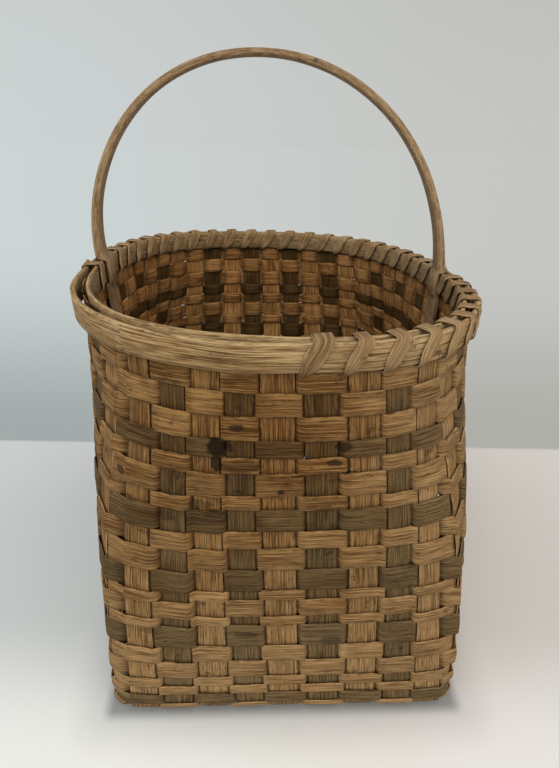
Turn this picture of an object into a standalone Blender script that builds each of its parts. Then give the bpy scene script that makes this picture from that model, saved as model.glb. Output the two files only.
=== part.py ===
"""Split oak gathering basket, modelled splint by splint.

Nine long stakes and fifteen cross stakes are woven flat into the base and turned up to
make the wall. Twenty-one weavers run round them, one over and one under. Two bent hoops
clamp the stake tops, a spiral lashing ties the hoops, and a bent bow handle stands in
notches on the inner hoop.

Metres, +Z up. The origin is on the ground under the middle of the rim. +X is to the
right and -Y is the end that faces the viewer. The handle spans the basket along X.
"""
import math

import bpy
import numpy as np

# Driving sizes of the basket
RIM_WIDTH = 0.300
RIM_DEPTH = 0.376
RIM_HEIGHT = 0.300
HANDLE_RISE = 0.150

# How the rim sits over the base
BASE_WIDTH_STEP = 0.0178
BASE_DEPTH_STEP = 0.017
RIM_SET_BACK = 0.0115
RIM_SET_LEFT = 0.0075
RIM_TILT = 0.008
RIM_DIP = 0.010

# Splints
STAKE_THICKNESS = 0.0010
WEAVER_THICKNESS = 0.0010
LONG_STAKE_GAP = 0.0057
CROSS_STAKE_GAP = 0.0038
STAKE_TOP_GAP = 0.0052
SPLINT_GAP = 0.0005
ROW_GAP = 0.0005

# Base
LONG_STAKES = 9
CROSS_STAKES = 15
WIDTH_CORNER = 0.0234
DEPTH_CORNER = 0.0180
BEND_RADIUS = 0.004

# Hoops
HOOP_THICKNESS = 0.0045
HOOP_HEIGHT = 0.016
HOOP_GAP = 0.0008
STAKE_TOP_DROP = 0.0010

# Lashing
STRAP_THICKNESS = 0.0010
STRAP_WIDTH = 0.0070
STRAP_GAP = 0.0004
STRAP_SIDE_GAP = 0.0009
STRAP_END = 0.0100

# Handle
HANDLE_WIDTH = 0.0125
HANDLE_THICKNESS = 0.0052
HANDLE_FOOT_WIDTH = 0.0175
HANDLE_FOOT_THICKNESS = 0.0088
HANDLE_FOOT_OVERHANG = 0.0004
HANDLE_EDGE = 0.0016
HANDLE_LEAN = 0.008
HANDLE_GAP = 0.0005
TAIL_LENGTH = 0.075
TAIL_THICKNESS = 0.0055
TAIL_TIP_THICKNESS = 0.0025
NOTCH_THICKNESS = 0.0036
NOTCH_RAMP = 0.0010

# Shape numbers
BASE_SQUARENESS = 18
RIM_SQUARENESS = 2.4
RIM_TURN = 0.045
HANDLE_SQUARENESS = 2.07
HANDLE_LEAN_POWER = 0.45
WIDTH_FLARE_POWER = 1.9
DEPTH_FLARE_POWER = 0.8
SQUARENESS_POWER = 2.2
STAKE_LEVELS = 6
TWIST_PER_LEVEL = 0.07
BEND_SHARES = (1.0, 0.667, 0.333, 0.0)
HANDLE_STATIONS = 23
HANDLE_TAPER_POWER = 0.25
OUTLINE_STEPS = 1440

# Row heights from the rim down, as shares of one wide weaver
ROW_HEIGHT_SHARES = (
    0.72, 0.86, 0.90, 0.68, 0.63, 0.95, 0.59, 0.99, 0.81, 1.04,
    1.08, 0.50, 0.90, 0.50, 1.22, 0.93, 1.00, 0.60, 0.54, 0.66, 0.25,
)
DARK_ROWS = (4, 8, 11, 15, 20)

# Where the lashing starts and ends, counted in gaps between uprights
LASHING_START = 4
LASHING_END = 41

# Finishes: base colour, roughness, metallic
LIGHT_OAK = ((0.42, 0.29, 0.15), 0.62, 0.0)
STAINED_OAK = ((0.15, 0.13, 0.08), 0.68, 0.0)
HOOP_OAK = ((0.45, 0.32, 0.17), 0.60, 0.0)
LASHING_OAK = ((0.34, 0.24, 0.13), 0.64, 0.0)
HANDLE_OAK = ((0.40, 0.26, 0.14), 0.52, 0.0)

# Values that follow from the sizes above
UPRIGHTS = 2 * (LONG_STAKES + CROSS_STAKES)
LONG_MIDDLE = (LONG_STAKES - 1) // 2
CROSS_MIDDLE = (CROSS_STAKES - 1) // 2
CORNERS = (LONG_STAKES - 1, LONG_STAKES + CROSS_STAKES - 1)
BASE_HALF_WIDTH = RIM_WIDTH / 2 - BASE_WIDTH_STEP
BASE_HALF_DEPTH = RIM_DEPTH / 2 - BASE_DEPTH_STEP
LONG_PITCH = (BASE_HALF_WIDTH - WIDTH_CORNER) / LONG_MIDDLE
CROSS_PITCH = (BASE_HALF_DEPTH - DEPTH_CORNER) / CROSS_MIDDLE
LONG_STAKE_WIDTH = LONG_PITCH - LONG_STAKE_GAP
CROSS_STAKE_WIDTH = CROSS_PITCH - CROSS_STAKE_GAP
WEAVE_OFFSET = STAKE_THICKNESS / 2 + SPLINT_GAP + WEAVER_THICKNESS / 2
BASE_WEAVE_OFFSET = STAKE_THICKNESS + SPLINT_GAP
BASE_LEVEL = BASE_WEAVE_OFFSET + STAKE_THICKNESS / 2
WALL_FOOT = BASE_LEVEL + BEND_RADIUS
HOOP_OFFSET = STAKE_THICKNESS / 2 + HOOP_GAP
RIM_HALF_WIDTH = RIM_WIDTH / 2 - HOOP_OFFSET - HOOP_THICKNESS
RIM_HALF_DEPTH = RIM_DEPTH / 2 - HOOP_OFFSET - HOOP_THICKNESS
HOOP_UNDERSIDE = HOOP_HEIGHT + STRAP_GAP + STRAP_THICKNESS + STRAP_GAP
WALL_RISE = RIM_HEIGHT - WALL_FOOT
STRAP_NECK = STAKE_TOP_GAP - 2 * STRAP_SIDE_GAP


def section_point(angle, share):
    """Return the wall's plan point at a polar angle and a share of its rise."""
    flare_x = share ** WIDTH_FLARE_POWER
    flare_y = share ** DEPTH_FLARE_POWER
    half_width = BASE_HALF_WIDTH + (RIM_HALF_WIDTH - BASE_HALF_WIDTH) * flare_x
    half_depth = BASE_HALF_DEPTH + (RIM_HALF_DEPTH - BASE_HALF_DEPTH) * flare_y
    corner = (1 - share) ** SQUARENESS_POWER
    power = RIM_SQUARENESS + (BASE_SQUARENESS - RIM_SQUARENESS) * corner
    turned = angle - RIM_TURN * share
    across = abs(math.cos(turned)) / half_width
    along = abs(math.sin(turned)) / half_depth
    radius = (across ** power + along ** power) ** (-1 / power)
    x = radius * math.cos(angle) + RIM_SET_LEFT * (1 - share)
    y = radius * math.sin(angle) - RIM_SET_BACK * (1 - share)
    return np.array((x, y))


def wall_point(angle, share):
    """Return the point on the stakes' middle surface, with the rim's tilt and dip."""
    x, y = section_point(angle, share)
    rise = WALL_RISE - RIM_TILT * x / RIM_WIDTH - RIM_DIP * y / RIM_DEPTH
    return np.array((x, y, WALL_FOOT + rise * share))


def heading(angle, share):
    """Return the direction in plan in which the outline runs at an angle."""
    step = math.pi / OUTLINE_STEPS
    run = section_point(angle + step, share) - section_point(angle - step, share)
    return math.atan2(run[1], run[0])


def share_below_rim(drop):
    """Return the share of the rise that lies a given drop below the rim."""
    return 1 - drop / WALL_RISE


def rim_places():
    """Return each upright's angle at the rim, evenly spaced, and their spacing."""
    angles = np.linspace(0, 2 * math.pi, OUTLINE_STEPS + 1) - math.pi / 2
    outline = np.array([section_point(angle, 1.0) for angle in angles])
    lengths = np.linalg.norm(np.diff(outline, axis=0), axis=1)
    travelled = np.concatenate(([0.0], np.cumsum(lengths)))
    pitch = travelled[-1] / UPRIGHTS
    places = (np.arange(UPRIGHTS) - LONG_MIDDLE) * pitch
    turns = np.floor(places / travelled[-1])
    found = np.interp(places - turns * travelled[-1], travelled, angles)
    return found + turns * 2 * math.pi, pitch


def outline_reach(offset, half_along, half_across):
    """Return how far the base outline reaches at an offset from its middle line."""
    power = BASE_SQUARENESS
    return half_along * (1 - abs(offset / half_across) ** power) ** (1 / power)


def base_place(upright):
    """Return an upright's plan place on the base outline, from the base's middle."""
    if upright < LONG_STAKES:
        x = (upright - LONG_MIDDLE) * LONG_PITCH
        return x, -outline_reach(x, BASE_HALF_DEPTH, BASE_HALF_WIDTH)
    if upright < LONG_STAKES + CROSS_STAKES:
        y = (upright - LONG_STAKES - CROSS_MIDDLE) * CROSS_PITCH
        return outline_reach(y, BASE_HALF_WIDTH, BASE_HALF_DEPTH), y
    x, y = base_place(upright - LONG_STAKES - CROSS_STAKES)
    return -x, -y


class Upright:
    """One stake end on the wall, as a band between its corner points."""

    def __init__(self, number, rim_angle, top_width):
        x, y = base_place(number)
        base_angle = math.atan2(y, x)
        turns = round((rim_angle - base_angle) / (2 * math.pi))
        self.number = number
        self.base_angle = base_angle + 2 * math.pi * turns
        self.rim_angle = rim_angle
        self.base_heading = heading(self.base_angle, 0.0)
        turn = heading(rim_angle, 1.0) - self.base_heading
        self.twist = (turn + math.pi) % (2 * math.pi) - math.pi
        long_stake = number % (UPRIGHTS // 2) < LONG_STAKES
        self.foot_width = LONG_STAKE_WIDTH if long_stake else CROSS_STAKE_WIDTH
        self.top_width = top_width
        levels = max(STAKE_LEVELS, math.ceil(abs(self.twist) / TWIST_PER_LEVEL) + 1)
        self.shares = np.linspace(0, share_below_rim(STAKE_TOP_DROP), levels)
        self.bands = [self.band(share) for share in self.shares]

    def band(self, share):
        """Return the middle, tangent, normal and width of the stake at a share."""
        angle = self.base_angle + (self.rim_angle - self.base_angle) * share
        run = self.base_heading + self.twist * share
        tangent = (math.cos(run), math.sin(run), 0.0)
        normal = (math.sin(run), -math.cos(run), 0.0)
        width = self.foot_width + (self.top_width - self.foot_width) * share
        return np.concatenate((wall_point(angle, share), tangent, normal, (width,)))

    def at(self, share):
        """Return the band at any share, straight between the stake's own levels."""
        columns = np.array(self.bands).T
        values = [np.interp(share, self.shares, column) for column in columns]
        return np.array(values[0:3]), np.array(values[3:6]), np.array(values[6:9]), values[9]

    def edge(self, share, side, offset):
        """Return a point beside the stake's edge, a given offset out from its middle."""
        middle, tangent, normal, width = self.at(share)
        return middle + tangent * (side * width / 2) + normal * offset


def make_uprights():
    """Return all uprights, counted from the front left round to the right."""
    angles, pitch = rim_places()
    width = pitch - STAKE_TOP_GAP
    return [Upright(number, angle, width) for number, angle in enumerate(angles)]


def make_material(name, finish):
    """Return a plain Principled material."""
    colour, roughness, metallic = finish
    material = bpy.data.materials.new(name)
    material.use_nodes = True
    shader = material.node_tree.nodes["Principled BSDF"]
    shader.inputs["Base Color"].default_value = (*colour, 1.0)
    shader.inputs["Roughness"].default_value = roughness
    shader.inputs["Metallic"].default_value = metallic
    material.diffuse_color = (*colour, 1.0)
    return material


def add_sweep(name, sections, closed, finish):
    """Join corner loops into one solid, as a ring or with capped ends."""
    corners = len(sections[0])
    count = len(sections)
    points = [tuple(point) for section in sections for point in section]
    faces = []
    for index in range(count if closed else count - 1):
        here = index * corners
        there = (index + 1) % count * corners
        for corner in range(corners):
            following = (corner + 1) % corners
            faces.append((here + corner, here + following, there + following, there + corner))
    if not closed:
        faces.append(tuple(reversed(range(corners))))
        faces.append(tuple(range((count - 1) * corners, count * corners)))
    mesh = bpy.data.meshes.new(name)
    mesh.from_pydata(points, [], faces)
    mesh.validate()
    part = bpy.data.objects.new(name, mesh)
    part.data.materials.append(make_material(name + "_finish", finish))
    bpy.context.scene.collection.objects.link(part)
    turn_outward(mesh)
    return part


def turn_outward(mesh):
    """Flip the faces if they point into the solid."""
    mesh.calc_loop_triangles()
    points = np.array([vertex.co for vertex in mesh.vertices])
    triangles = np.array([triangle.vertices for triangle in mesh.loop_triangles])
    first, second, third = (points[triangles[:, index]] for index in range(3))
    if np.einsum("ij,ij->i", first, np.cross(second, third)).sum() < 0:
        mesh.flip_normals()


def band_section(middle, tangent, normal, width, thickness):
    """Return the four corners of a flat splint's cross-section."""
    across = tangent * (width / 2)
    out = normal * (thickness / 2)
    return (
        middle - across + out,
        middle + across + out,
        middle + across - out,
        middle - across - out,
    )


def bend_sections(upright, axis):
    """Return the sections that turn a stake from its wall into the base."""
    middle, tangent, _, width = upright.at(0.0)
    square = np.array((-axis[1], axis[0], 0.0))
    sections = []
    for share in BEND_SHARES[1:]:
        turn = (1 - share) * math.pi / 2
        side = tangent * share + square * (1 - share)
        side = side / np.linalg.norm(side)
        level = np.array((side[1], -side[0], 0.0))
        out = level * math.cos(turn) - np.array((0.0, 0.0, math.sin(turn)))
        inset = BEND_RADIUS * (1 - math.cos(turn))
        height = BASE_LEVEL + BEND_RADIUS * (1 - math.sin(turn))
        place = np.array((middle[0], middle[1], 0.0)) - axis * inset
        place[2] = height
        sections.append(band_section(place, side, out, width, STAKE_THICKNESS))
    return sections


def wall_sections(upright):
    """Return a stake's sections from its top down to the foot of the wall."""
    sections = []
    for share in reversed(upright.shares):
        middle, tangent, normal, width = upright.at(share)
        sections.append(band_section(middle, tangent, normal, width, STAKE_THICKNESS))
    return sections


def flipped(section):
    """Return a section's corners in the order that the far wall needs."""
    return (section[1], section[0], section[3], section[2])


def add_stake(name, near, far, axis, crossings, finish):
    """Add one stake: down the near wall, over the base and up the far wall."""
    sections = wall_sections(near) + bend_sections(near, axis)
    sections += crossings
    back = wall_sections(far) + bend_sections(far, -axis)
    sections += [flipped(section) for section in reversed(back)]
    return add_sweep(name, sections, False, finish)


def cross_stake_crossings(row, uprights):
    """Return a cross stake's sections where it passes over and under long stakes."""
    near = uprights[LONG_STAKES + row]
    far = uprights[UPRIGHTS - 1 - row]
    start = near.at(0.0)[0]
    end = far.at(0.0)[0]
    sections = []
    for column in reversed(range(LONG_STAKES)):
        over = -1 if (row + column + LONG_MIDDLE + CROSS_MIDDLE) % 2 == 0 else 1
        middle_x = (column - LONG_MIDDLE) * LONG_PITCH + RIM_SET_LEFT
        for side in (1, -1):
            x = middle_x + side * LONG_STAKE_WIDTH / 2
            share = (x - start[0]) / (end[0] - start[0])
            y = start[1] + (end[1] - start[1]) * share
            place = np.array((x, y, BASE_LEVEL + over * BASE_WEAVE_OFFSET))
            tangent = np.array((0.0, 1.0, 0.0))
            down = np.array((0.0, 0.0, -1.0))
            sections.append(
                band_section(place, tangent, down, CROSS_STAKE_WIDTH, STAKE_THICKNESS)
            )
    return sections


def add_stakes(uprights):
    """Add the long stakes and the cross stakes, every second one stained dark."""
    for number in range(LONG_STAKES):
        near = uprights[number]
        far = uprights[UPRIGHTS // 2 + LONG_STAKES - 1 - number]
        finish = STAINED_OAK if number % 2 else LIGHT_OAK
        axis = np.array((0.0, -1.0, 0.0))
        add_stake(f"long_stake_{number + 1}", near, far, axis, [], finish)
    for number in range(CROSS_STAKES):
        near = uprights[LONG_STAKES + number]
        far = uprights[UPRIGHTS - 1 - number]
        finish = STAINED_OAK if number % 2 else LIGHT_OAK
        axis = np.array((1.0, 0.0, 0.0))
        crossings = cross_stake_crossings(number, uprights)
        add_stake(f"cross_stake_{number + 1:02d}", near, far, axis, crossings, finish)


def row_shares():
    """Return the lower and upper share of the rise for each row, from the rim down."""
    top = share_below_rim(HOOP_UNDERSIDE)
    unit = top / sum(ROW_HEIGHT_SHARES)
    edges = top - np.concatenate(([0.0], np.cumsum(ROW_HEIGHT_SHARES))) * unit
    gap = ROW_GAP / WALL_RISE / 2
    return [(low + gap, high - gap) for high, low in zip(edges[:-1], edges[1:])]


def weaver_section(low_point, high_point, normal):
    """Return a weaver's four corners from its lower and upper middle points."""
    out = normal * (WEAVER_THICKNESS / 2)
    return (high_point + out, high_point - out, low_point - out, low_point + out)


def weaver_sections(row, low, high, uprights):
    """Return the sections of one weaver, in front of and behind the uprights in turn."""
    sections = []
    for upright in uprights:
        offset = WEAVE_OFFSET if (upright.number + row) % 2 == 0 else -WEAVE_OFFSET
        normal = upright.at((low + high) / 2)[2]
        for side in (-1, 1):
            low_point = upright.edge(low, side, offset)
            high_point = upright.edge(high, side, offset)
            sections.append(weaver_section(low_point, high_point, normal))
        if upright.number % (UPRIGHTS // 2) in CORNERS:
            following = uprights[(upright.number + 1) % UPRIGHTS]
            sections.append(corner_section(upright, following, low, high))
    return sections


def corner_section(upright, following, low, high):
    """Return a weaver's section half way round a corner that has no upright."""
    points = []
    for share in (low, high):
        start = upright.base_angle + (upright.rim_angle - upright.base_angle) * share
        end = following.base_angle + (following.rim_angle - following.base_angle) * share
        end += 2 * math.pi * round((start - end) / (2 * math.pi))
        points.append(wall_point((start + end) / 2, share))
    normal = upright.at(low)[2] + following.at(low)[2]
    return weaver_section(points[0], points[1], normal / np.linalg.norm(normal))


def add_weavers(uprights):
    """Add the weavers, numbered from the rim down."""
    for index, (low, high) in enumerate(row_shares()):
        row = index + 1
        finish = STAINED_OAK if row in DARK_ROWS else LIGHT_OAK
        sections = weaver_sections(row, low, high, uprights)
        add_sweep(f"weaver_{row:02d}", sections, True, finish)


def gap_point(uprights, gap, share, offset):
    """Return the point midway between two uprights, a given offset out."""
    here = uprights[gap % UPRIGHTS]
    there = uprights[(gap + 1) % UPRIGHTS]
    return (here.edge(share, 1, offset) + there.edge(share, -1, offset)) / 2


def hoop_sections(uprights, inner, outer):
    """Return a hoop's sections, one between each pair of uprights."""
    top = 1.0
    bottom = share_below_rim(HOOP_HEIGHT)
    sections = []
    for gap in range(UPRIGHTS):
        sections.append(
            (
                gap_point(uprights, gap, top, outer) + rim_lift(),
                gap_point(uprights, gap, top, inner) + rim_lift(),
                gap_point(uprights, gap, bottom, inner),
                gap_point(uprights, gap, bottom, outer),
            )
        )
    return sections


def rim_lift():
    """Return the step from the stakes' cut tops up to the top of the hoops."""
    return np.array((0.0, 0.0, STAKE_TOP_DROP))


def add_hoops(uprights):
    """Add the outer and the inner hoop."""
    outer = hoop_sections(uprights, HOOP_OFFSET, HOOP_OFFSET + HOOP_THICKNESS)
    inner = hoop_sections(uprights, -HOOP_OFFSET - HOOP_THICKNESS, -HOOP_OFFSET)
    add_sweep("outer_rim_hoop", outer, True, HOOP_OAK)
    add_sweep("inner_rim_hoop", inner, True, HOOP_OAK)


def strap_section(point, tangent, normal, out_sign, up_sign, width):
    """Return a strap's corners at one mitred turn round the hoops."""
    across = tangent * (width / 2)
    skin = (normal * out_sign + np.array((0.0, 0.0, up_sign))) * STRAP_THICKNESS
    return (point - across, point + across, point + across + skin, point - across + skin)


def strap_low_turn(uprights, gap, out_sign):
    """Return the strap's turn under the hoops, between two uprights."""
    share = share_below_rim(HOOP_HEIGHT)
    reach = (HOOP_OFFSET + HOOP_THICKNESS + STRAP_GAP) * out_sign
    point = gap_point(uprights, gap, share, reach) - np.array((0.0, 0.0, STRAP_GAP))
    tangent, normal = gap_frame(uprights, gap, share)
    return strap_section(point, tangent, normal, out_sign, -1, STRAP_NECK)


def gap_frame(uprights, gap, share):
    """Return the tangent and normal midway between two uprights."""
    here = uprights[gap % UPRIGHTS].at(share)
    there = uprights[(gap + 1) % UPRIGHTS].at(share)
    tangent = here[1] + there[1]
    normal = here[2] + there[2]
    return tangent / np.linalg.norm(tangent), normal / np.linalg.norm(normal)


def strap_high_turn(uprights, number, out_sign):
    """Return the strap's turn over the hoops, above an upright."""
    middle, tangent, normal, _ = uprights[number % UPRIGHTS].at(1.0)
    reach = (HOOP_OFFSET + HOOP_THICKNESS + STRAP_GAP) * out_sign
    point = middle + normal * reach + rim_lift() + np.array((0.0, 0.0, STRAP_GAP))
    return strap_section(point, tangent, normal, out_sign, 1, STRAP_WIDTH)


def strap_tuck(uprights):
    """Return the cut end of the strap, tucked up inside the inner hoop."""
    share = share_below_rim(HOOP_HEIGHT - STRAP_END)
    reach = HOOP_OFFSET + HOOP_THICKNESS + STRAP_GAP
    point = gap_point(uprights, LASHING_START, share, -reach)
    tangent, normal = gap_frame(uprights, LASHING_START, share)
    across = tangent * (STRAP_NECK / 2)
    skin = -normal * STRAP_THICKNESS
    return (point - across, point + across, point + across + skin, point - across + skin)


def handle_uprights():
    """Return the two uprights that the handle stands over."""
    right = LONG_STAKES + CROSS_MIDDLE
    return right, right + UPRIGHTS // 2


def add_lashing(uprights):
    """Add the strap that spirals round both hoops and steps over the handle."""
    sections = [strap_tuck(uprights), strap_low_turn(uprights, LASHING_START, -1)]
    blocked = handle_uprights()
    gap = LASHING_START
    while gap < LASHING_END:
        sections.append(strap_low_turn(uprights, gap, 1))
        over = gap + 1
        if over in blocked:
            over += 1
        sections.append(strap_high_turn(uprights, over, 1))
        sections.append(strap_high_turn(uprights, over, -1))
        sections.append(strap_low_turn(uprights, over, -1))
        gap = over
    add_sweep("rim_lashing", sections, False, LASHING_OAK)


def handle_section(place, sideways, normal, thickness, width):
    """Return a handle section: a flat bar with its four edges eased."""
    edge = min(HANDLE_EDGE, thickness / 3)
    half = thickness / 2
    side = width / 2
    corners = (
        (side - edge, half), (side, half - edge), (side, edge - half), (side - edge, -half),
        (edge - side, -half), (-side, edge - half), (-side, half - edge), (edge - side, half),
    )
    return [place + sideways * across + normal * out for across, out in corners]


def foot_section(upright, share, lift, outer, thickness, width):
    """Return a section of a handle foot, beside its upright at a share of the rise.

    The lift is added to the height, and the outer face lies the given distance out from
    the middle of the upright.
    """
    place, tangent, normal, _ = upright.at(share)
    place = place + normal * (outer - thickness / 2)
    place[2] += lift
    sideways = tangent * math.copysign(1, tangent[1])
    return handle_section(place, sideways, normal, thickness, width)


def foot_sections(uprights, number):
    """Return the sections of one handle foot, from its tip up to the hoops' top."""
    upright = uprights[number]
    hoop_low = share_below_rim(HOOP_HEIGHT)
    tip = share_below_rim(TAIL_LENGTH)
    below = -WEAVE_OFFSET - WEAVER_THICKNESS / 2 - HANDLE_GAP
    notch = -HOOP_OFFSET - HOOP_THICKNESS - HANDLE_GAP
    top = STAKE_TOP_DROP + HANDLE_GAP
    width = upright.top_width + STAKE_TOP_GAP - STRAP_NECK - 2 * HANDLE_GAP
    return [
        foot_section(upright, tip, 0.0, below, TAIL_TIP_THICKNESS, width),
        foot_section(upright, hoop_low, -HANDLE_GAP - NOTCH_RAMP, below, TAIL_THICKNESS, width),
        foot_section(upright, hoop_low, -HANDLE_GAP, notch, NOTCH_THICKNESS, width),
        foot_section(upright, 1.0, top, notch, NOTCH_THICKNESS, width),
        foot_section(upright, 1.0, top + NOTCH_RAMP, HANDLE_FOOT_OVERHANG,
                     HANDLE_FOOT_THICKNESS, HANDLE_FOOT_WIDTH),
    ]


def arch_point(turn, left, right):
    """Return a point on the bow's middle line; turn runs from 0 on the right to pi."""
    power = 2 / HANDLE_SQUARENESS
    across = math.copysign(abs(math.cos(turn)) ** power, math.cos(turn))
    lift = HANDLE_RISE * abs(math.sin(turn)) ** power
    lean = HANDLE_LEAN * abs(math.sin(turn)) ** HANDLE_LEAN_POWER
    place = (left + right) / 2 + (right - left) / 2 * across
    return place + np.array((-lean, 0.0, lift))


def arch_sections(left, right):
    """Return the bow's sections from its right foot over to its left foot."""
    sections = []
    step = math.pi / (HANDLE_STATIONS + 1)
    for index in range(1, HANDLE_STATIONS + 1):
        turn = index * step
        ahead = arch_point(turn + step / 2, left, right)
        behind = arch_point(turn - step / 2, left, right)
        tangent = (ahead - behind) / np.linalg.norm(ahead - behind)
        sideways = np.array((0.0, 1.0, 0.0))
        normal = np.cross(sideways, tangent)
        normal = normal / np.linalg.norm(normal)
        taper = math.sin(turn) ** HANDLE_TAPER_POWER
        thickness = HANDLE_FOOT_THICKNESS + (HANDLE_THICKNESS - HANDLE_FOOT_THICKNESS) * taper
        width = HANDLE_FOOT_WIDTH + (HANDLE_WIDTH - HANDLE_FOOT_WIDTH) * taper
        place = arch_point(turn, left, right)
        sections.append(handle_section(place, sideways, normal, thickness, width))
    return sections


def foot_middle(section):
    """Return the middle of a section."""
    return sum(section) / len(section)


def add_handle(uprights):
    """Add the bow handle with its notched feet and flat tails."""
    right_number, left_number = handle_uprights()
    right = foot_sections(uprights, right_number)
    left = foot_sections(uprights, left_number)
    arch = arch_sections(foot_middle(left[-1]), foot_middle(right[-1]))
    add_sweep("handle", right + arch + list(reversed(left)), False, HANDLE_OAK)


def main():
    """Clear the scene and build the basket."""
    for thing in list(bpy.data.objects):
        bpy.data.objects.remove(thing)
    uprights = make_uprights()
    add_stakes(uprights)
    add_weavers(uprights)
    add_hoops(uprights)
    add_lashing(uprights)
    add_handle(uprights)


if __name__ == "__main__":
    main()
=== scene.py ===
"""Looks of the split oak gathering basket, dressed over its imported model.

Every splint, hoop, strap and bow is built here as one smooth piece that stands for the
node of the same place. Metres, +Z up, +X to the right along the handle's span, and -Y
towards the end of the basket that faces the viewer.

Among the sizes, a name that ends in share is a part of the size that it follows, one in
waves counts the swings of a wandering wave, and one in seed or shift picks its pattern.
"""
import logging
import math
from dataclasses import dataclass, field
from enum import Enum

import bpy
import numpy as np
from mathutils import Matrix, Vector


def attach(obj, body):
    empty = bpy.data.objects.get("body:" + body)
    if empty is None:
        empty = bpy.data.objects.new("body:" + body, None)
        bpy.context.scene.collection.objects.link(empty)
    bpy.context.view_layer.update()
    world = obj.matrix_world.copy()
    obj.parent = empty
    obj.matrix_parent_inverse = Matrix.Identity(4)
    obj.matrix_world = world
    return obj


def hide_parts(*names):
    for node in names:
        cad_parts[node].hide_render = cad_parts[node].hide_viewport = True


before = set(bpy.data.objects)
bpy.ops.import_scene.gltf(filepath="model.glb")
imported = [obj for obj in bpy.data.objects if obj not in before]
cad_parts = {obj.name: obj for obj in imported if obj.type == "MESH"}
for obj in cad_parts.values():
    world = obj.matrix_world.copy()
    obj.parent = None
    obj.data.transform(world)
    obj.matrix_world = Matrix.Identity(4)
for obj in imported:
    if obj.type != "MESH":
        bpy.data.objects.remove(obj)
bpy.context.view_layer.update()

# The photograph's height in pixels and the camera's sensor in millimetres
PICTURE_HEIGHT = 768
SENSOR = 36.0
FULL_TURN = 2 * math.pi
QUARTER_TURN = math.pi / 2

# How chance picks its numbers, and the layers of a wandering wave as rate and share
CHANCE_RATE, CHANCE_SHIFT, CHANCE_SCALE = 12.9898, 4.1414, 43758.5453
WANDER_LAYERS = ((1.0, 0.5), (2.31, 0.3), (4.77, 0.2))
WANDER_SEED_STEP = 3.3
WANDER_PHASE = 6.283
TINY = 1e-9

# Three numbers: a place, a direction, a size along each axis or a colour
Triple = tuple[float, float, float]
ColourPair = tuple[Triple, Triple]

log = logging.getLogger("basket")


# Small tools for shapes

def unit(vectors: np.ndarray) -> np.ndarray:
    """Return vectors at length one."""
    return vectors / np.linalg.norm(vectors, axis=-1, keepdims=True)


def chance(seed: np.ndarray | float) -> np.ndarray | float:
    """Return a fixed number from 0 to 1 for each seed."""
    return np.mod(np.sin(np.asarray(seed) * CHANCE_RATE + CHANCE_SHIFT) * CHANCE_SCALE, 1.0)


def wander(place: np.ndarray, seed: float) -> np.ndarray:
    """Return a smooth wave that wanders between about -1 and 1.

    Args:
        place: Places along the wave, in radians of its slowest swing.
        seed: A number that picks the wave.

    Returns:
        The wave's value at each place.
    """
    total = np.zeros_like(np.asarray(place, dtype=float))
    for layer, (rate, share) in enumerate(WANDER_LAYERS):
        phase = WANDER_PHASE * chance(seed + WANDER_SEED_STEP * layer)
        total += share * np.sin(place * rate + phase)
    return total


def blend_step(value: np.ndarray) -> np.ndarray:
    """Return a smooth step from 0 to 1 over the same span."""
    value = np.clip(value, 0.0, 1.0)
    return value * value * (3 - 2 * value)


def travelled(points: np.ndarray) -> np.ndarray:
    """Return the length walked along a line of points, starting at zero."""
    steps = np.linalg.norm(np.diff(points, axis=0), axis=-1)
    return np.concatenate(([0.0], np.cumsum(steps)))


def evened(values: np.ndarray) -> np.ndarray:
    """Return each value as the mean of itself and its two neighbours."""
    return np.convolve(np.pad(values, 1, mode="edge"), np.ones(3) / 3, "valid")


class Slot(Enum):
    """The record's material slots."""

    LIGHT = "light_oak"
    STAINED = "stained_oak"
    HOOP = "hoop_oak"
    LASHING = "lashing_oak"
    HANDLE = "handle_oak"


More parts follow.
